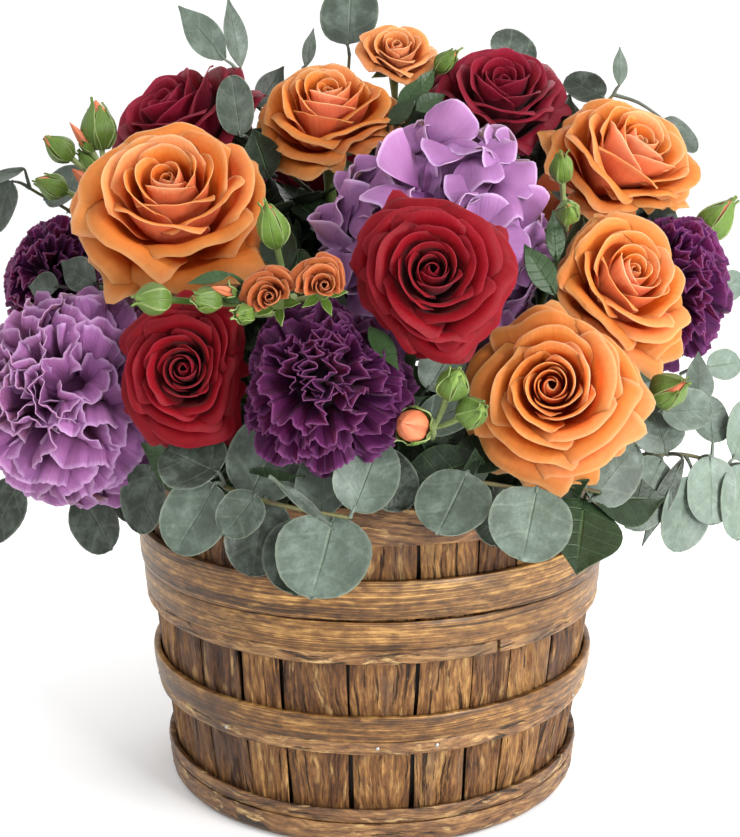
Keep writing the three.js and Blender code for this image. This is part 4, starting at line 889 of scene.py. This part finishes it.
def addCarnation(bundle, head, shape, seed):
    rolls = np.random.default_rng(seed)
    shape = {**carnationBasics, **shape}
    u = np.linspace(-1, 1, shape["columns"])[None, :]
    v = np.linspace(0, 1, shape["rows"])[:, None]
    fine = np.linspace(0, 1, shape["steps"])
    zigzag = np.where(np.arange(shape["columns"]) % 2, 1.0, -1.0)[None, :]
    for k in range(shape["petals"]):
        share = (k + 0.5) / shape["petals"]
        polar = capAngle(shape["widest"], share ** 1.3)
        turn = k * goldenTurn + rolls.uniform(-0.2, 0.2)
        out = direction(polar, turn)
        down = np.array([math.cos(polar) * math.sin(turn), -math.cos(polar) * math.cos(turn),
                         -math.sin(polar)])
        side = np.cross(out, down)
        roll = rolls.uniform(-0.8, 0.8) + rolls.uniform(-2.6, 2.6) * (1 - share) ** 1.5
        down, side = (math.cos(roll) * down + math.sin(roll) * side,
                      math.cos(roll) * side - math.sin(roll) * down)
        bend = math.radians(shape["bend"] * rolls.uniform(0.6, 1.25) * (0.1 + 0.9 * share ** 0.55))
        bend = bend * smooth(fine, 0.3, 1.0)
        length = shape["length"] * rolls.uniform(0.86, 1.0)
        risen, moved = [np.concatenate([[0], np.cumsum(part[1:])]) / (shape["steps"] - 1) * length
                        for part in (np.cos(bend), np.sin(bend))]
        first, second, third = rolls.uniform(0, 6.3, 3)
        end = (1 - 0.1 * u * u + shape["teeth"] * zigzag * rolls.uniform(0.4, 1, u.shape)
               + 0.035 * np.sin(5 * u + third))
        reach = v * end
        height = shape["core"] + np.interp(reach, fine, risen) - 0.16 * (u * v) ** 2
        lean = np.interp(reach, fine, moved)
        slope = np.interp(reach, fine, bend)
        half = shape["width"] * (0.1 + 0.9 * v ** 0.8)
        folds = shape["folds"] * math.pi * u
        wave = shape["ripple"] * v ** 1.5 * (np.sin(folds + first) + 0.5 * np.sin(2.3 * folds + second)
                                             + 0.22 * v * np.sin(5.1 * folds + third))
        height, lean = height - np.sin(slope) * wave, lean + np.cos(slope) * wave
        grid = height[..., None] * out + lean[..., None] * down + (half * u)[..., None] * side
        size = np.linalg.norm(grid, axis=2, keepdims=True)
        grid = grid * (1 + size ** 12) ** (-1 / 12) * (1, 1, shape["flat"]) + (0, 0, heartRise)
        thick = shape["thickness"] * (1 - 0.5 * smooth(v, 0.8, 1)) + 0 * u
        bundle.sheet(head.place(grid), thick, rolls.uniform(0, 1), 1 - share * 0.4)
    turn, rise = turns(24)[None, :], np.linspace(-1.5, 1.5, 12)[:, None]
    ball = stacked(shape["ball"] * np.cos(rise) * np.cos(turn), shape["ball"] * np.cos(rise) * np.sin(turn),
                   shape["ballRise"] + shape["ball"] * np.sin(rise))  # closes the heart behind the petals
    bundle.strip(head.place(ball), stacked(turn / 6.3, 0.1 + 0 * rise), 0.3, 1.0)


def makeCarnations():
    for name, slot in (("carnation_lavender", "lavender"), ("carnation_purple", "purple")):
        for k, head in enumerate(heads[name]):
            bundle = Bundle()
            addCarnation(bundle, head, carnationShapes[slot], 900 + 13 * k)
            look = "plumPetal" if (slot, k) == ("purple", 2) else f"{slot}Petal"
            bundle.make(f"{slot}Carnation{k + 1}", [petals[look]], slot, f"{name}_{k + 1}")


makeCarnations()
print("carnations: two lavender, four purple")


floretShape = {"florets": 54, "radius": 0.375, "widest": 114, "rows": 9, "columns": 13, "thickness": 0.32,
               "lift": (0.66, 0.88), "tilt": 0.3, "half": 0.86, "stalks": 14}


def makeHydrangea():
    head, shape = heads["hydrangea"][0], floretShape
    rolls = np.random.default_rng(77)
    bundle = Bundle()
    u = np.linspace(-1, 1, shape["columns"])[None, :]
    v = np.linspace(0.04, 1, shape["rows"])[:, None]
    for k in range(shape["florets"]):
        share = (k + 0.5) / shape["florets"]
        out = direction(capAngle(shape["widest"], share), k * goldenTurn + rolls.uniform(-0.15, 0.15))
        normal = unit(out + rolls.normal(0, shape["tilt"], 3))
        x = unit(np.cross(normal, (0.2, 0.3, 0.93)))
        y = np.cross(normal, x)
        low, high = shape["lift"]
        lift = np.interp(k * 0.618 % 1, (0, 1), (low, high)) - low
        middle = out * (low + lift) * 0.96 + (0, 0, heartRise)
        size = shape["radius"] * rolls.uniform(0.85, 1.1)
        start, tone = rolls.uniform(0, 6.3), rolls.uniform(0, 1)
        across, rounded, w = roundedOutline(u, v, 0.3)
        for sepal in range(4):
            cup, fold, phase = rolls.uniform(-0.12, 0.34), rolls.uniform(-0.6, 0.1), rolls.uniform(0, 6.3)
            angle = start + sepal * math.pi / 2 + rolls.uniform(-0.08, 0.08) + shape["half"] * across
            run = size * rolls.uniform(0.88, 1.08) * rounded
            rise = size * (0.06 * u + cup * rounded ** 2 + fold * (u * rounded) ** 2 - 0.1 * w ** 3
                           + 0.13 * np.sin(3.2 * u + phase) * rounded ** 2
                           + 0.06 * np.sin(7 * u + 2 * phase) * rounded ** 3)
            grid = (out * low + (run * np.cos(angle))[..., None] * x
                    + (run * np.sin(angle))[..., None] * y + (rise + lift)[..., None] * normal)
            reach = np.linalg.norm(grid, axis=2, keepdims=True)
            grid = grid * (1 + (reach / 1.1) ** 12) ** (-1 / 12) + (0, 0, heartRise)
            shade = np.clip(tone + rolls.uniform(-0.2, 0.2), 0, 1)
            bundle.sheet(head.place(grid), shape["thickness"], shade, 1.0)
        bead = head.place(middle + normal * 0.02)
        bundle.tube([bead, bead + head.z * 0.9, bead + head.z * 1.5], [1.2, 1.3, 0.3], 6, 0.1, 0.0)
    for k in range(shape["stalks"]):  # short stalks that carry the florets
        tip = direction(math.radians(20 + 70 * (k % 3) / 2), k * goldenTurn)
        ends = head.place(np.array([(0, 0, 0.05), tuple(tip * 0.7 + (0, 0, heartRise))]))
        bundle.tube([ends[0], ends.mean(axis=0) + head.z, ends[1]], [2.2, 1.4, 0.9], 6, 0.2, 0.6)
    bundle.make("hydrangeaHead", [petals["lilacSepal"]], "lilac", "hydrangea_head")


makeHydrangea()
print("hydrangea: florets in a dome")


def bladeAxis(foot, middle, face):  # from the foot to the middle of a blade, square to the way it faces
    away = middle - foot
    return unit(away - face * (away @ face))


# A leaf blade as a grid in millimetres. Round leaves are nearly circles, pointed ones taper to both ends.
def leafGrid(foot, middle, width, stretch, facing, kind="round", rows=13, columns=11, cup=0.08, bow=0.0,
             seed=0):
    middle, foot = np.array(middle, float), np.array(foot, float)
    face = facingVector(facing) if len(facing) == 2 else np.array(facing, float)
    along = bladeAxis(foot, middle, face)
    side = np.cross(along, face)
    length = width * stretch
    v = np.linspace(0, 1, rows)[:, None]
    u = np.linspace(-1, 1, columns)[None, :]
    if kind == "round":
        sweep = math.pi * np.clip(v, 0.03, 0.985)
        t = -0.5 * np.cos(sweep)
        half = 0.5 * np.clip(np.sin(sweep), 0, 1) ** 0.85 * (1 - 0.12 * (t + 0.5))
        half = half * (1 + 0.035 * waves(v * 7 + 3 * (u > 0), 3, seed + 5))
        rib = np.exp(-(u / 0.3) ** 2)
        t = t + 0.012 * rib * smooth(v, 0.7, 1) - 0.05 * rib * smooth(v, 0.2, 0)
    else:
        t = v - 0.5
        half = 0.5 * np.sin(math.pi * np.clip(v, 0.02, 0.99) ** 0.8) ** 0.9 * (1 - 0.25 * smooth(v, 0.6, 1))
        half = half * (1 + (0.05 * np.where(np.arange(rows) % 2, 1, -1)[:, None] if kind == "toothed" else 0))
    rise = cup * width * (np.abs(u) ** 1.6 - 0.4) * np.sin(math.pi * np.clip(v, 0.1, 0.9))
    rise = rise + bow * length * (0.25 - t ** 2) + 0.02 * width * waves(u * 2.2 + t * 5, 3, seed)
    return (middle + (t * length)[..., None] * along + (u * half * width)[..., None] * side
            + rise[..., None] * face)


def addLeaf(bundle, foot, middle, width, stretch, facing, tone, stalk=True, **more):
    grid = leafGrid(foot, middle, width, stretch, facing, **more)
    thick = 0.55 * (1 - 0.4 * np.abs(np.linspace(-1, 1, grid.shape[1]))[None, :] ** 3) + 0 * grid[..., 0]
    bundle.sheet(grid, thick, tone)
    base, inside = grid[0].mean(axis=0), grid[2].mean(axis=0)
    reach = np.linalg.norm(base - foot)
    if stalk and reach > 0.5:
        arch = (np.array(foot) + base) / 2 + (0, 0, 0.08 * reach)
        bundle.tube(curve([foot, arch, base, inside], 3), np.linspace(0.9, 0.35, 10), 6, tone)


# Where a stem enters the foam: the point on its dome, the way down, and the stem's end.
foamDome = [(0, 169), (42, 166), (71, 157), (88, 140)]  # radius and height
stems = {"aimShare": 0.72, "aimHeight": 60, "clear": 8, "roseDepth": 34, "sprayDepth": 28,
         "meeting": (0, 0, 84.0), "roseCup": 0.16, "carnationCup": 0.15}


def foamTop(x, y):
    return np.array([x, y, float(np.interp(math.hypot(x, y), *zip(*foamDome)))])


def foamEntry(x, y, depth):
    top = foamTop(x, y)
    aim = unit(np.array([stems["aimShare"] * x, stems["aimShare"] * y, stems["aimHeight"]]) - top)
    return top, aim, top + aim * depth


def drawnIn(head, most, share):  # a head's place, moved inwards to where its stem enters the foam
    flat = math.hypot(*head.root[:2])
    return head.root[:2] * (min(most, share * flat) / flat)


def spoke(x, y, angle):
    return x * math.cos(angle) + y * math.sin(angle)


def makeRoseStems():
    for name in ("orange_rose", "red_rose"):
        for k, head in enumerate(heads[name]):
            rolls = np.random.default_rng(1200 + k + 20 * len(name))
            top, aim, end = foamEntry(*drawnIn(head, 66, 0.58), stems["roseDepth"])
            down = [head.root - head.z * depth for depth in (0.2, 2.2, 4.5, 10)]
            cup = stems["roseCup"] * head.radius
            path = curve([*down[1:], top - aim * stems["clear"], end], 5)
            radii = np.interp(np.arange(len(path)), [0, 5, 10, 15, len(path)],
                              [cup * 1.1, cup * 0.8, 2.5, 2.1, 2.0])
            bundle = Bundle()
            bundle.tube(np.vstack([down[0], path]), np.concatenate([[cup], radii]), 10, rolls.uniform(0, 1))
            for sepal in range(5):  # pointed sepals that bend back from the calyx
                out = spoke(head.x, head.y, sepal * 2 * math.pi / 5 + 0.4)
                foot = down[1] + out * cup
                middle = foot + out * 0.2 * head.radius - head.z * 2.0
                addLeaf(bundle, foot - out, middle, 0.24 * head.radius, 2.3, unit(head.z * 0.9 - out * 0.2),
                        rolls.uniform(0.3, 0.9), False, kind="pointed", rows=9, columns=5, bow=-0.35)
            label = f"{name.split('_')[0]}RoseStem{k + 1}"
            bundle.make(label, [leaves["budGreen"]], "stem", f"{name}_{k + 1}_stem")


def makeCarnationStems():
    meeting = np.array(stems["meeting"])
    bundle = Bundle()
    for head in heads["carnation_lavender"] + heads["carnation_purple"]:
        top = foamTop(*drawnIn(head, 64, 0.6))
        neck = head.root - head.z * 0.35
        foot = neck - head.z * 20
        path = curve([neck, (neck + foot) / 2, foot, top - unit(meeting - top) * stems["clear"], meeting], 5)
        cup = stems["carnationCup"] * head.radius
        radii = np.interp(np.arange(len(path)), [0, 3, 8, 12, 16, 30], [cup, 5.6, 4.6, 2.4, 1.9, 1.9])
        bundle.tube(path, radii, 10, 0.4)
    bundle.make("carnationStems", [greenStem], "stem", "carnation_stems")


def makeHydrangeaStem():
    head = heads["hydrangea"][0]
    top, aim, end = foamEntry(*(head.root[:2] * 0.58), stems["roseDepth"])
    bundle = Bundle()
    path = curve([head.root - head.z * 0.35, head.root - head.z * 10, top - aim * stems["clear"], end], 6)
    bundle.tube(path, 2.6, 10, 0.6)
    bundle.make("hydrangeaStem", [greenStem], "stem", "hydrangea_stem")


makeRoseStems()
makeCarnationStems()
makeHydrangeaStem()
print("stems: roses with sepals, carnations, hydrangea")

sprays = {  # buds: middle, foot of the stalk, width, length, how far it has opened
    "spray_left": {
        "stem": [(-113, -12, 264), (-101, -9, 232), (-80, -9, 198)], "entry": (-50, -10),
        "buds": [((-113, -10, 283), (-111, -12, 265), 13, 20, 0.3),
                 ((-129, -16, 274), (-111, -11, 258), 9.5, 14, 0.35),
                 ((-131, -24, 259), (-107, -10, 247), 9, 13, 0.4),
                 ((-118, -11, 268), (-109, -10, 256), 7, 10, 0.1),
                 ((-120, -13, 278), (-112, -12, 267), 5, 15, 0.97),
                 ((-119, -16, 261), (-108, -11, 250), 7, 13, 0.96)]},
    "spray_top_stem": {
        "stem": [(10, 20, 292), (8, 26, 262), (4, 27, 216)], "entry": (2, 20),
        "buds": [((31, 1, 309), (10, 21, 286), 7, 13, 0.2)],
        "necks": [(0, (10, 20, 290))]},
    "spray_centre_stem": {
        "stem": [(-29, -92, 223), (-31, -80, 210), (-26, -60, 186)], "entry": (-22, -38),
        "buds": [((-36, -102, 250), (-30, -87, 217), 10, 17, 0.3),
                 ((-77, -121, 226), (-30, -89, 219), 10, 13, 0.1),
                 ((-58, -122, 226), (-30, -88, 218), 8, 12, 0.1),
                 ((-45, -124, 221), (-30, -90, 217), 6, 9, 0.1),
                 ((-52, -121, 229), (-32, -92, 219), 4, 13, 0.97)],
        "necks": [(1, (-29, -90, 221)), (2, (-29, -90, 221))]},
    "spray_front": {
        "stem": [(21, -120, 182), (22, -106, 174), (21, -88, 168)], "entry": (18, -60),
        "buds": [((13, -130, 183), (21, -112, 177), 13, 16, 0.97),
                 ((28, -130, 198), (22, -116, 179), 10, 13, 0.0),
                 ((35, -131, 188), (22, -113, 178), 10, 12, 0.0)]},
    "spray_right_rear": {
        "stem": [(74, -56, 256), (76, -40, 240), (66, -30, 205)], "entry": (38, -18),
        "buds": [((71, -70, 269), (75, -50, 250), 7.5, 15, 0.2),
                 ((71, -92, 254), (75, -54, 240), 7.5, 16, 0.1)]},
    "spray_right": {
        "stem": [(106, -84, 182), (94, -72, 174), (78, -58, 166)], "entry": (54, -40),
        "buds": [((110, -97, 189), (98, -76, 177), 12, 17, 0.55)]},
    "spray_right_edge": {
        "stem": [(137, 8, 228), (118, 14, 202), (92, 12, 180)], "entry": (60, 9),
        "buds": [((148, 5, 243), (132, 9, 222), 13, 20, 0.75)]},
}


def addBud(green, coral, middle, foot, size, length, share, rolls):
    middle, foot = np.array(middle, float), np.array(foot, float)
    along = unit(middle - foot)
    side = unit(np.cross((0, 0, 1), along))
    other = np.cross(along, side)
    start = middle - along * length / 2
    turn = turns(16)
    v = np.linspace(0, 1, 12)
    swell = np.sin(math.pi * np.clip(v, 0.03, 0.985) ** (0.72 - 0.12 * share)) ** 0.8
    wide = size / 2 * swell * (1 - 0.1 * share)
    lobes = 1 + 0.06 * np.cos(5 * turn)[None, :] * v[:, None]
    ring = side * np.cos(turn)[:, None] + other * np.sin(turn)[:, None]
    grid = start + (v * length)[:, None, None] * along + ring[None] * (wide[:, None] * lobes)[..., None]
    coral.strip(grid, stacked((turn / 6.3)[None, :], v[:, None]), rolls.uniform(0, 1), share)
    rows = np.linspace(0, 1, 10)[:, None]
    across = np.linspace(-1, 1, 5)[None, :]
    for k in range(5):  # sepals that clasp the bud, their tips free
        out = spoke(side, other, k * 2 * math.pi / 5 + rolls.uniform(-0.2, 0.2))
        reach = rolls.uniform(0.85, 1.15) * (0.45 if share > 0.9 else 1.0)
        belly = size / 2 * np.sin(math.pi * np.clip(rows * reach, 0.04, 0.97) ** 0.72) ** 0.8 + 0.4
        free = 2.2 * smooth(rows, 0.75, 1) * rolls.uniform(-0.2, 1.2)
        half = 0.36 * size * np.sin(math.pi * np.clip(rows + 0.08, 0, 0.97) ** 0.75) ** 0.8
        far = (belly + free - 0.05 * size * across * across)[..., None] * out
        sheet = (start + (rows * reach * length)[..., None] * along + far
                 + (across * half)[..., None] * np.cross(along, out))
        green.sheet(sheet[:, ::-1], 0.5, rolls.uniform(0.2, 1))
    green.tube(curve([foot, (foot + start) / 2 + (0, 0, -0.5), start, start + along * 1.2], 3),
               np.linspace(0.9, 1.5, 10), 7, 0.6)


def addNeck(green, head, foot):  # carries a small rose, with its calyx
    cup = head.root - head.z * 0.3
    green.tube(curve([foot, cup - head.z * 4, cup], 4), np.linspace(1, 0.24 * head.radius, 9), 8, 0.6)
    for sepal in range(5):
        out = spoke(head.x, head.y, sepal * 2 * math.pi / 5)
        addLeaf(green, cup, cup + out * 0.45 * head.radius, 0.3 * head.radius, 2.4, unit(head.z - out * 0.3),
                0.7, False, kind="pointed", rows=8, columns=5, bow=0.2)


def makeSprays():
    for name, spray in sprays.items():
        rolls = np.random.default_rng(1500 + len(name))
        green, coral = Bundle(), Bundle()
        top, aim, end = foamEntry(*spray["entry"], stems["sprayDepth"])
        green.tube(curve([*spray["stem"], top - aim * stems["clear"], end], 5), 1.4, 8, 0.4)
        for bud in spray["buds"]:
            addBud(green, coral, *bud, rolls)
        for k, foot in spray.get("necks", []):
            addNeck(green, heads["small"][k], foot)
        green.make(pieceName(name), [leaves["budGreen"]], "bud", name)
        coral.make(pieceName(name) + "Buds", [budBody], "bud", name)


makeSprays()
print("sprays: stems, buds and sepals")

# Each leaf's tone follows how bright that leaf looks in the arrangement, so besides its own colour it carries
# painted light and shade: darker low on the left, paler on the right.
leafyStems = {  # leaves: x, y, z, width, length to width, facing, tone from dark 0 to pale 1
    "eucalyptus_top": {
        "stem": [(-10, 38, 312), (-12, 36, 280), (-12, 32, 225), (-9, 27, 168), (-7, 22, 138)],
        "twigs": [[(-57, 20, 304), (-54, 25, 294), (-38, 32, 280), (-12, 36, 262)],
                  [(-30, 26, 306), (-27, 30, 296), (-12, 36, 280)],
                  [(-50, -14, 276), (-38, 8, 264), (-12, 33, 240)]],
        "leaves": [(-10, 40, 330, 28, 1.05, -10, 25, 0.2), (-73, 20, 321, 15, 2.1, -15, 10, 0.5),
                   (-59, 20, 321, 11, 2.6, 30, 10, 0.35), (-46, 30, 296, 12, 1.9, 20, 20, 0.1),
                   (-27, 25, 315, 6, 2.8, 20, 10, 0.2), (-55, -24, 291, 17, 1.4, -14, 8, 0.22)]},
    "eucalyptus_top_right": {
        "stem": [(104, 19, 295), (84, 24, 272), (50, 26, 228), (32, 20, 167), (26, 15, 138)],
        "leaves": [(62, 38, 314, 20, 1.1, 10, 30, 0.1), (92, 22, 298, 16, 1.3, -20, 40, 0.05),
                   (106, 18, 307, 8, 2.0, 30, 10, 0.35), (132, 12, 278, 14, 1.4, 30, 30, 0.2)]},
    "eucalyptus_left_high": {
        "stem": [(-146, 4, 256), (-126, 16, 240), (-104, 9, 208), (-54, 6, 163), (-44, 5, 134)],
        "leaves": [(-151, -2, 263, 10, 2.2, -20, 60, 0.1), (-157, -4, 249, 22, 1.05, -35, 15, 0.05),
                   (-136, 6, 254, 20, 1.1, -30, 30, 0.3), (-128, 30, 250, 20, 1.1, -100, 40, 0.3)]},
    "eucalyptus_left_low": {
        "stem": [(-148, -28, 134), (-126, -34, 138), (-100, -34, 150), (-72, -24, 155), (-48, -16, 149)],
        "leaves": [(-152, -30, 130, 27, 1.05, -35, 20, 0.02), (-112, -58, 127, 26, 1.1, -30, 15, 0.05),
                   (-138, -14, 146, 24, 1.1, -70, 35, 0.2), (-96, -66, 140, 22, 1.1, -30, 20, 0.05)]},
    "eucalyptus_front_left": {
        "stem": [(-8, -132, 150), (-32, -127, 153), (-54, -112, 156), (-50, -84, 155), (-34, -54, 150)],
        "leaves": [(-16, -136, 143, 36, 0.93, 2, 48, 0.42), (-2, -126, 164, 25, 1.1, 8, 25, 0.35),
                   (-47, -128, 150, 18, 1.0, -5, 25, 0.16), (-64, -122, 147, 28, 1.0, -20, 22, 0.3),
                   (-64, -112, 165, 28, 0.9, -20, 50, 0.1), (-40, -123, 147, 26, 1.1, 10, 8, 0.05),
                   (-40, -113, 163, 31, 1.0, -6, 22, 0.2), (-18, -121, 158, 22, 1.1, -20, 24, 0.22),
                   (-23, -130, 139, 33, 0.9, -5, 42, 0.1)]},
    "eucalyptus_front_right": {
        "stem": [(60, -120, 156), (44, -117, 158), (30, -111, 159), (26, -96, 158), (24, -66, 151)],
        "leaves": [(31, -120, 157, 29, 0.95, -5, 48, 0.28), (57, -126, 152, 32, 0.95, 8, 46, 0.4),
                   (44, -116, 151, 20, 1.1, 14, 30, 0.1)]},
    "eucalyptus_right": {
        "stem": [(142, -60, 150), (122, -68, 157), (98, -66, 156), (80, -52, 154), (54, -32, 149)],
        "leaves": [(104, -86, 146, 27, 1.1, 25, 8, 0.3), (121, -80, 136, 27, 1.1, 30, 5, 0.5),
                   (145, -70, 139, 27, 1.1, 35, 12, 0.7), (150, -50, 162, 24, 1.1, 40, 20, 0.7),
                   (115, -84, 150, 8, 4.6, 10, 5, 0.0), (136, -52, 168, 18, 1.2, 20, 40, 0.4),
                   (112, -72, 166, 26, 1.1, 10, 25, 0.3), (132, -74, 152, 24, 1.1, 20, 15, 0.6)]},
    "eucalyptus_back_left": {
        "stem": [(-100, 100, 150), (-80, 92, 154), (-58, 74, 158), (-36, 46, 150)],
        "leaves": [(-112, 98, 142, 30, 1.0, -130, 10, 0.4), (-92, 110, 138, 28, 1.0, -140, 8, 0.3),
                   (-66, 112, 150, 28, 1.0, -155, 15, 0.5), (-112, 84, 164, 24, 1.1, -125, 40, 0.2),
                   (-48, 104, 164, 24, 1.1, -165, 35, 0.3)]},
    "eucalyptus_back_right": {
        "stem": [(122, 72, 158), (98, 72, 157), (74, 58, 157), (46, 38, 150)],
        "twigs": [[(118, 50, 196), (110, 56, 176), (98, 62, 160)]],
        "leaves": [(132, 70, 146, 30, 1.0, 120, 10, 0.5), (108, 94, 142, 28, 1.0, 135, 8, 0.4),
                   (82, 106, 150, 28, 1.0, 150, 15, 0.3), (128, 44, 204, 28, 1.05, 110, 30, 0.6),
                   (128, 58, 178, 26, 1.05, 118, 20, 0.4), (104, 80, 176, 26, 1.05, 135, 30, 0.3)]},
    "salal_front": {
        "stem": [(84, -106, 152), (62, -100, 156), (48, -84, 156), (33, -54, 150)],
        "leaves": [(77, -110, 142, 31, 1.15, 22, 52, 0.3), (40, -104, 166, 18, 1.6, -10, 45, 0.1),
                   (95, -99, 148, 25, 1.2, 24, 40, 0.15), (23, -110, 160, 20, 1.7, -8, 30, 0.0)]},
}


def nearestPoint(point, routes):
    found = []
    for route in routes:
        for a, b in zip(np.array(route[:-1], float), np.array(route[1:], float)):
            found.append(a + np.clip((point - a) @ (b - a) / ((b - a) @ (b - a)), 0, 1) * (b - a))
    return min(found, key=lambda spot: np.linalg.norm(spot - point))


def addTwig(twigs, route, thin, thick, tone):
    twigs.tube(curve(route, 6), np.linspace(thin, thick, 6 * (len(route) - 1) + 1), 8, tone)


def makeLeafyStems():
    for name, plant in leafyStems.items():
        look = "darkLeaf" if name.startswith("salal") else "eucalyptusLeaf"
        rolls = np.random.default_rng(1700 + len(name) + len(plant["leaves"]))
        blades, twigs = Bundle(), Bundle()
        addTwig(twigs, plant["stem"], 0.7, 1.3, 0.3)
        branches = plant.get("twigs", [])
        for twig in branches:
            addTwig(twigs, twig, 0.6, 1.1, 0.5)
        routes = [plant["stem"][:-1], *branches]
        for x, y, z, width, stretch, around, above, tone in plant["leaves"]:
            middle = np.array((x, y, z), float)
            foot = nearestPoint(middle, routes)
            along = bladeAxis(foot, middle, facingVector((around, above)))
            middle = middle + along * max(0, 0.48 * width * stretch - (middle - foot) @ along)
            kind = "pointed" if look == "darkLeaf" or stretch > 1.6 else "round"
            addLeaf(blades, foot, middle, width, stretch, (around, above), tone, kind=kind,
                    cup=rolls.uniform(0.03, 0.12), bow=rolls.uniform(-0.06, 0.08), seed=int(x + 200))
        blades.make(pieceName(name), [leaves[look]], leafSlots[look], name)
        twigs.make(pieceName(name) + "Twigs", [woodyStem], leafSlots[look], name)


makeLeafyStems()
print("leafy stems: eucalyptus and dark leaves")

# As in the leafy stems, the tones carry painted light and shade as well as each leaf's own colour.
coverLeaves = {  # leaves that close the gaps between blooms: foot, middle, width, stretch, facing, tone
    "eucalyptusLeaf": [
        ((-100, -30, 215), (-117, -46, 226), 14, 1.5, (-30, 20), 0.1),
        ((-110, -30, 210), (-132, -42, 220), 12, 1.5, (-40, 25), 0.05),
        ((80, -90, 150), (90, -98, 158), 24, 1.2, (25, 15), 0.2),
        ((-78, -84, 150), (-86, -94, 146), 24, 1.1, (-35, 10), 0.05),
        ((62, -60, 190), (74, -76, 204), 14, 1.5, (10, 20), 0.1),
        ((118, -50, 176), (128, -62, 186), 15, 1.5, (35, 20), 0.2),
        ((108, -60, 170), (122, -72, 176), 18, 1.4, (30, 20), 0.3),
        ((136, 0, 206), (151, -10, 216), 13, 1.4, (30, 20), 0.6),
        ((130, -20, 180), (147, -25, 185), 14, 1.3, (30, 20), 0.7),
        ((18, -80, 180), (26, -94, 198), 18, 1.3, (10, 30), 0.25),
        ((16, -90, 170), (28, -104, 182), 17, 1.4, (-10, 20), 0.2),
        ((-50, -84, 156), (-63, -100, 164), 26, 0.8, (-20, 40), 0.1),
        ((-36, -136, 166), (-23, -139, 156), 5, 5.0, (30, 40), 0.1),
        ((0, -100, 160), (6, -112, 158), 22, 1.1, (6, 24), 0.0)],
    "darkLeaf": [
        ((-10, -74, 205), (-18, -86, 220), 15, 1.6, (-10, 25), 0.2),
        ((-26, -56, 222), (-36, -68, 240), 15, 1.6, (-20, 20), 0.1),
        ((8, -10, 280), (16, -10, 295), 9, 1.9, (-10, 20), 0.7),
        ((14, -10, 282), (24, -13, 292), 9, 1.8, (20, 35), 0.45),
        ((6, -12, 278), (12, -16, 288), 9, 1.6, (-20, 30), 0.3),
        ((20, -8, 280), (29, -15, 287), 9, 1.5, (25, 25), 0.2),
        ((10, -4, 282), (22, -2, 300), 7, 2.2, (10, 25), 0.9),
        ((-40, -14, 262), (-45, -26, 272), 16, 1.3, (-10, 10), 0.0),
        ((-48, 0, 270), (-46, -18, 272), 18, 1.5, (-20, 20), 0.0),
        ((66, -70, 215), (62, -84, 232), 11, 2.0, (10, 20), 0.7),
        ((-44, -112, 228), (-57, -121, 233), 5, 3.0, (-10, 40), 0.9),
        ((-2, -100, 200), (4, -118, 208), 8, 2.4, (10, 40), 0.9),
        ((-60, -100, 216), (-48, -118, 226), 6, 2.8, (-10, 50), 0.9),
        ((60, -60, 220), (68, -78, 244), 8, 2.4, (20, 20), 0.5),
        # This leaf and the last in the list, both at tone 0, sit in the gaps beside the orange rose at the
        # right, above the purple carnation, and stand in for the shade there: painted shade.
        ((98, -4, 222), (108, -8, 242), 24, 1.5, (20, 10), 0.0),
        ((12, 8, 268), (17, 4, 286), 16, 1.5, (0, 20), 0.2),
        ((0, 6, 256), (3, 0, 272), 18, 1.5, (0, 20), 0.1),
        ((74, 14, 266), (80, 10, 284), 17, 1.5, (0, 20), 0.1),
        ((68, 10, 256), (71, 5, 272), 16, 1.5, (0, 20), 0.0),
        ((110, -4, 222), (122, -7, 240), 20, 1.4, (30, 10), 0.0)],
}


def makeCover():
    for look, group in coverLeaves.items():
        bundle = Bundle()
        for k, (foot, middle, width, stretch, facing, tone) in enumerate(group):
            kind = "pointed" if look == "darkLeaf" or stretch > 1.45 else "round"
            addLeaf(bundle, foot, middle, width, stretch, facing, tone, kind=kind, cup=0.1, bow=0.06,
                    seed=900 + k)
        bundle.make("cover" + look[0].upper() + look[1:], [leaves[look]], leafSlots[look])


filler = {"count": 380, "size": (20, 34), "spread": (18, 124), "low": 148, "high": 262, "dome": 118,
          "reach": 128, "under": 8, "band": 64, "centre": (0, 0, 160), "width": 0.62, "stretch": 1.7}


def makeFiller():  # small dark leaves that fill the dome under and between the heads
    rolls = np.random.default_rng(2024)
    bundle = Bundle()
    placed = 0
    while placed < filler["count"]:
        turn = rolls.uniform(0, 2 * math.pi)
        radius, height = rolls.uniform(*filler["spread"]), rolls.uniform(filler["low"], filler["high"])
        spot = np.array([radius * math.sin(turn), -radius * math.cos(turn), height])
        bulge = math.sqrt(max(0, 1 - (radius / filler["reach"]) ** 2))
        dome = filler["low"] + filler["dome"] * bulge - filler["under"]
        if height > dome or height < dome - filler["band"]:
            continue
        size = rolls.uniform(*filler["size"])
        inside = [np.linalg.norm(head.middle - spot) / (head.radius * head.full + 0.28 * size)
                  for head in allHeads]
        if min(inside) < 0.95:
            continue
        out = unit(spot - filler["centre"])
        face = unit(out + rolls.normal(0, 0.45, 3))
        foot = spot - out * size * 0.7 + rolls.normal(0, 4, 3)
        addLeaf(bundle, foot, spot, size * filler["width"], filler["stretch"], face, rolls.uniform(0, 0.8),
                kind="toothed", rows=13, columns=7, cup=0.12, bow=rolls.uniform(-0.1, 0.15), seed=placed)
        placed += 1
    bundle.make("fillerLeaves", [leaves["darkLeaf"]], leafSlots["darkLeaf"])


makeCover()
makeFiller()
print("filler: leaves between the blooms")
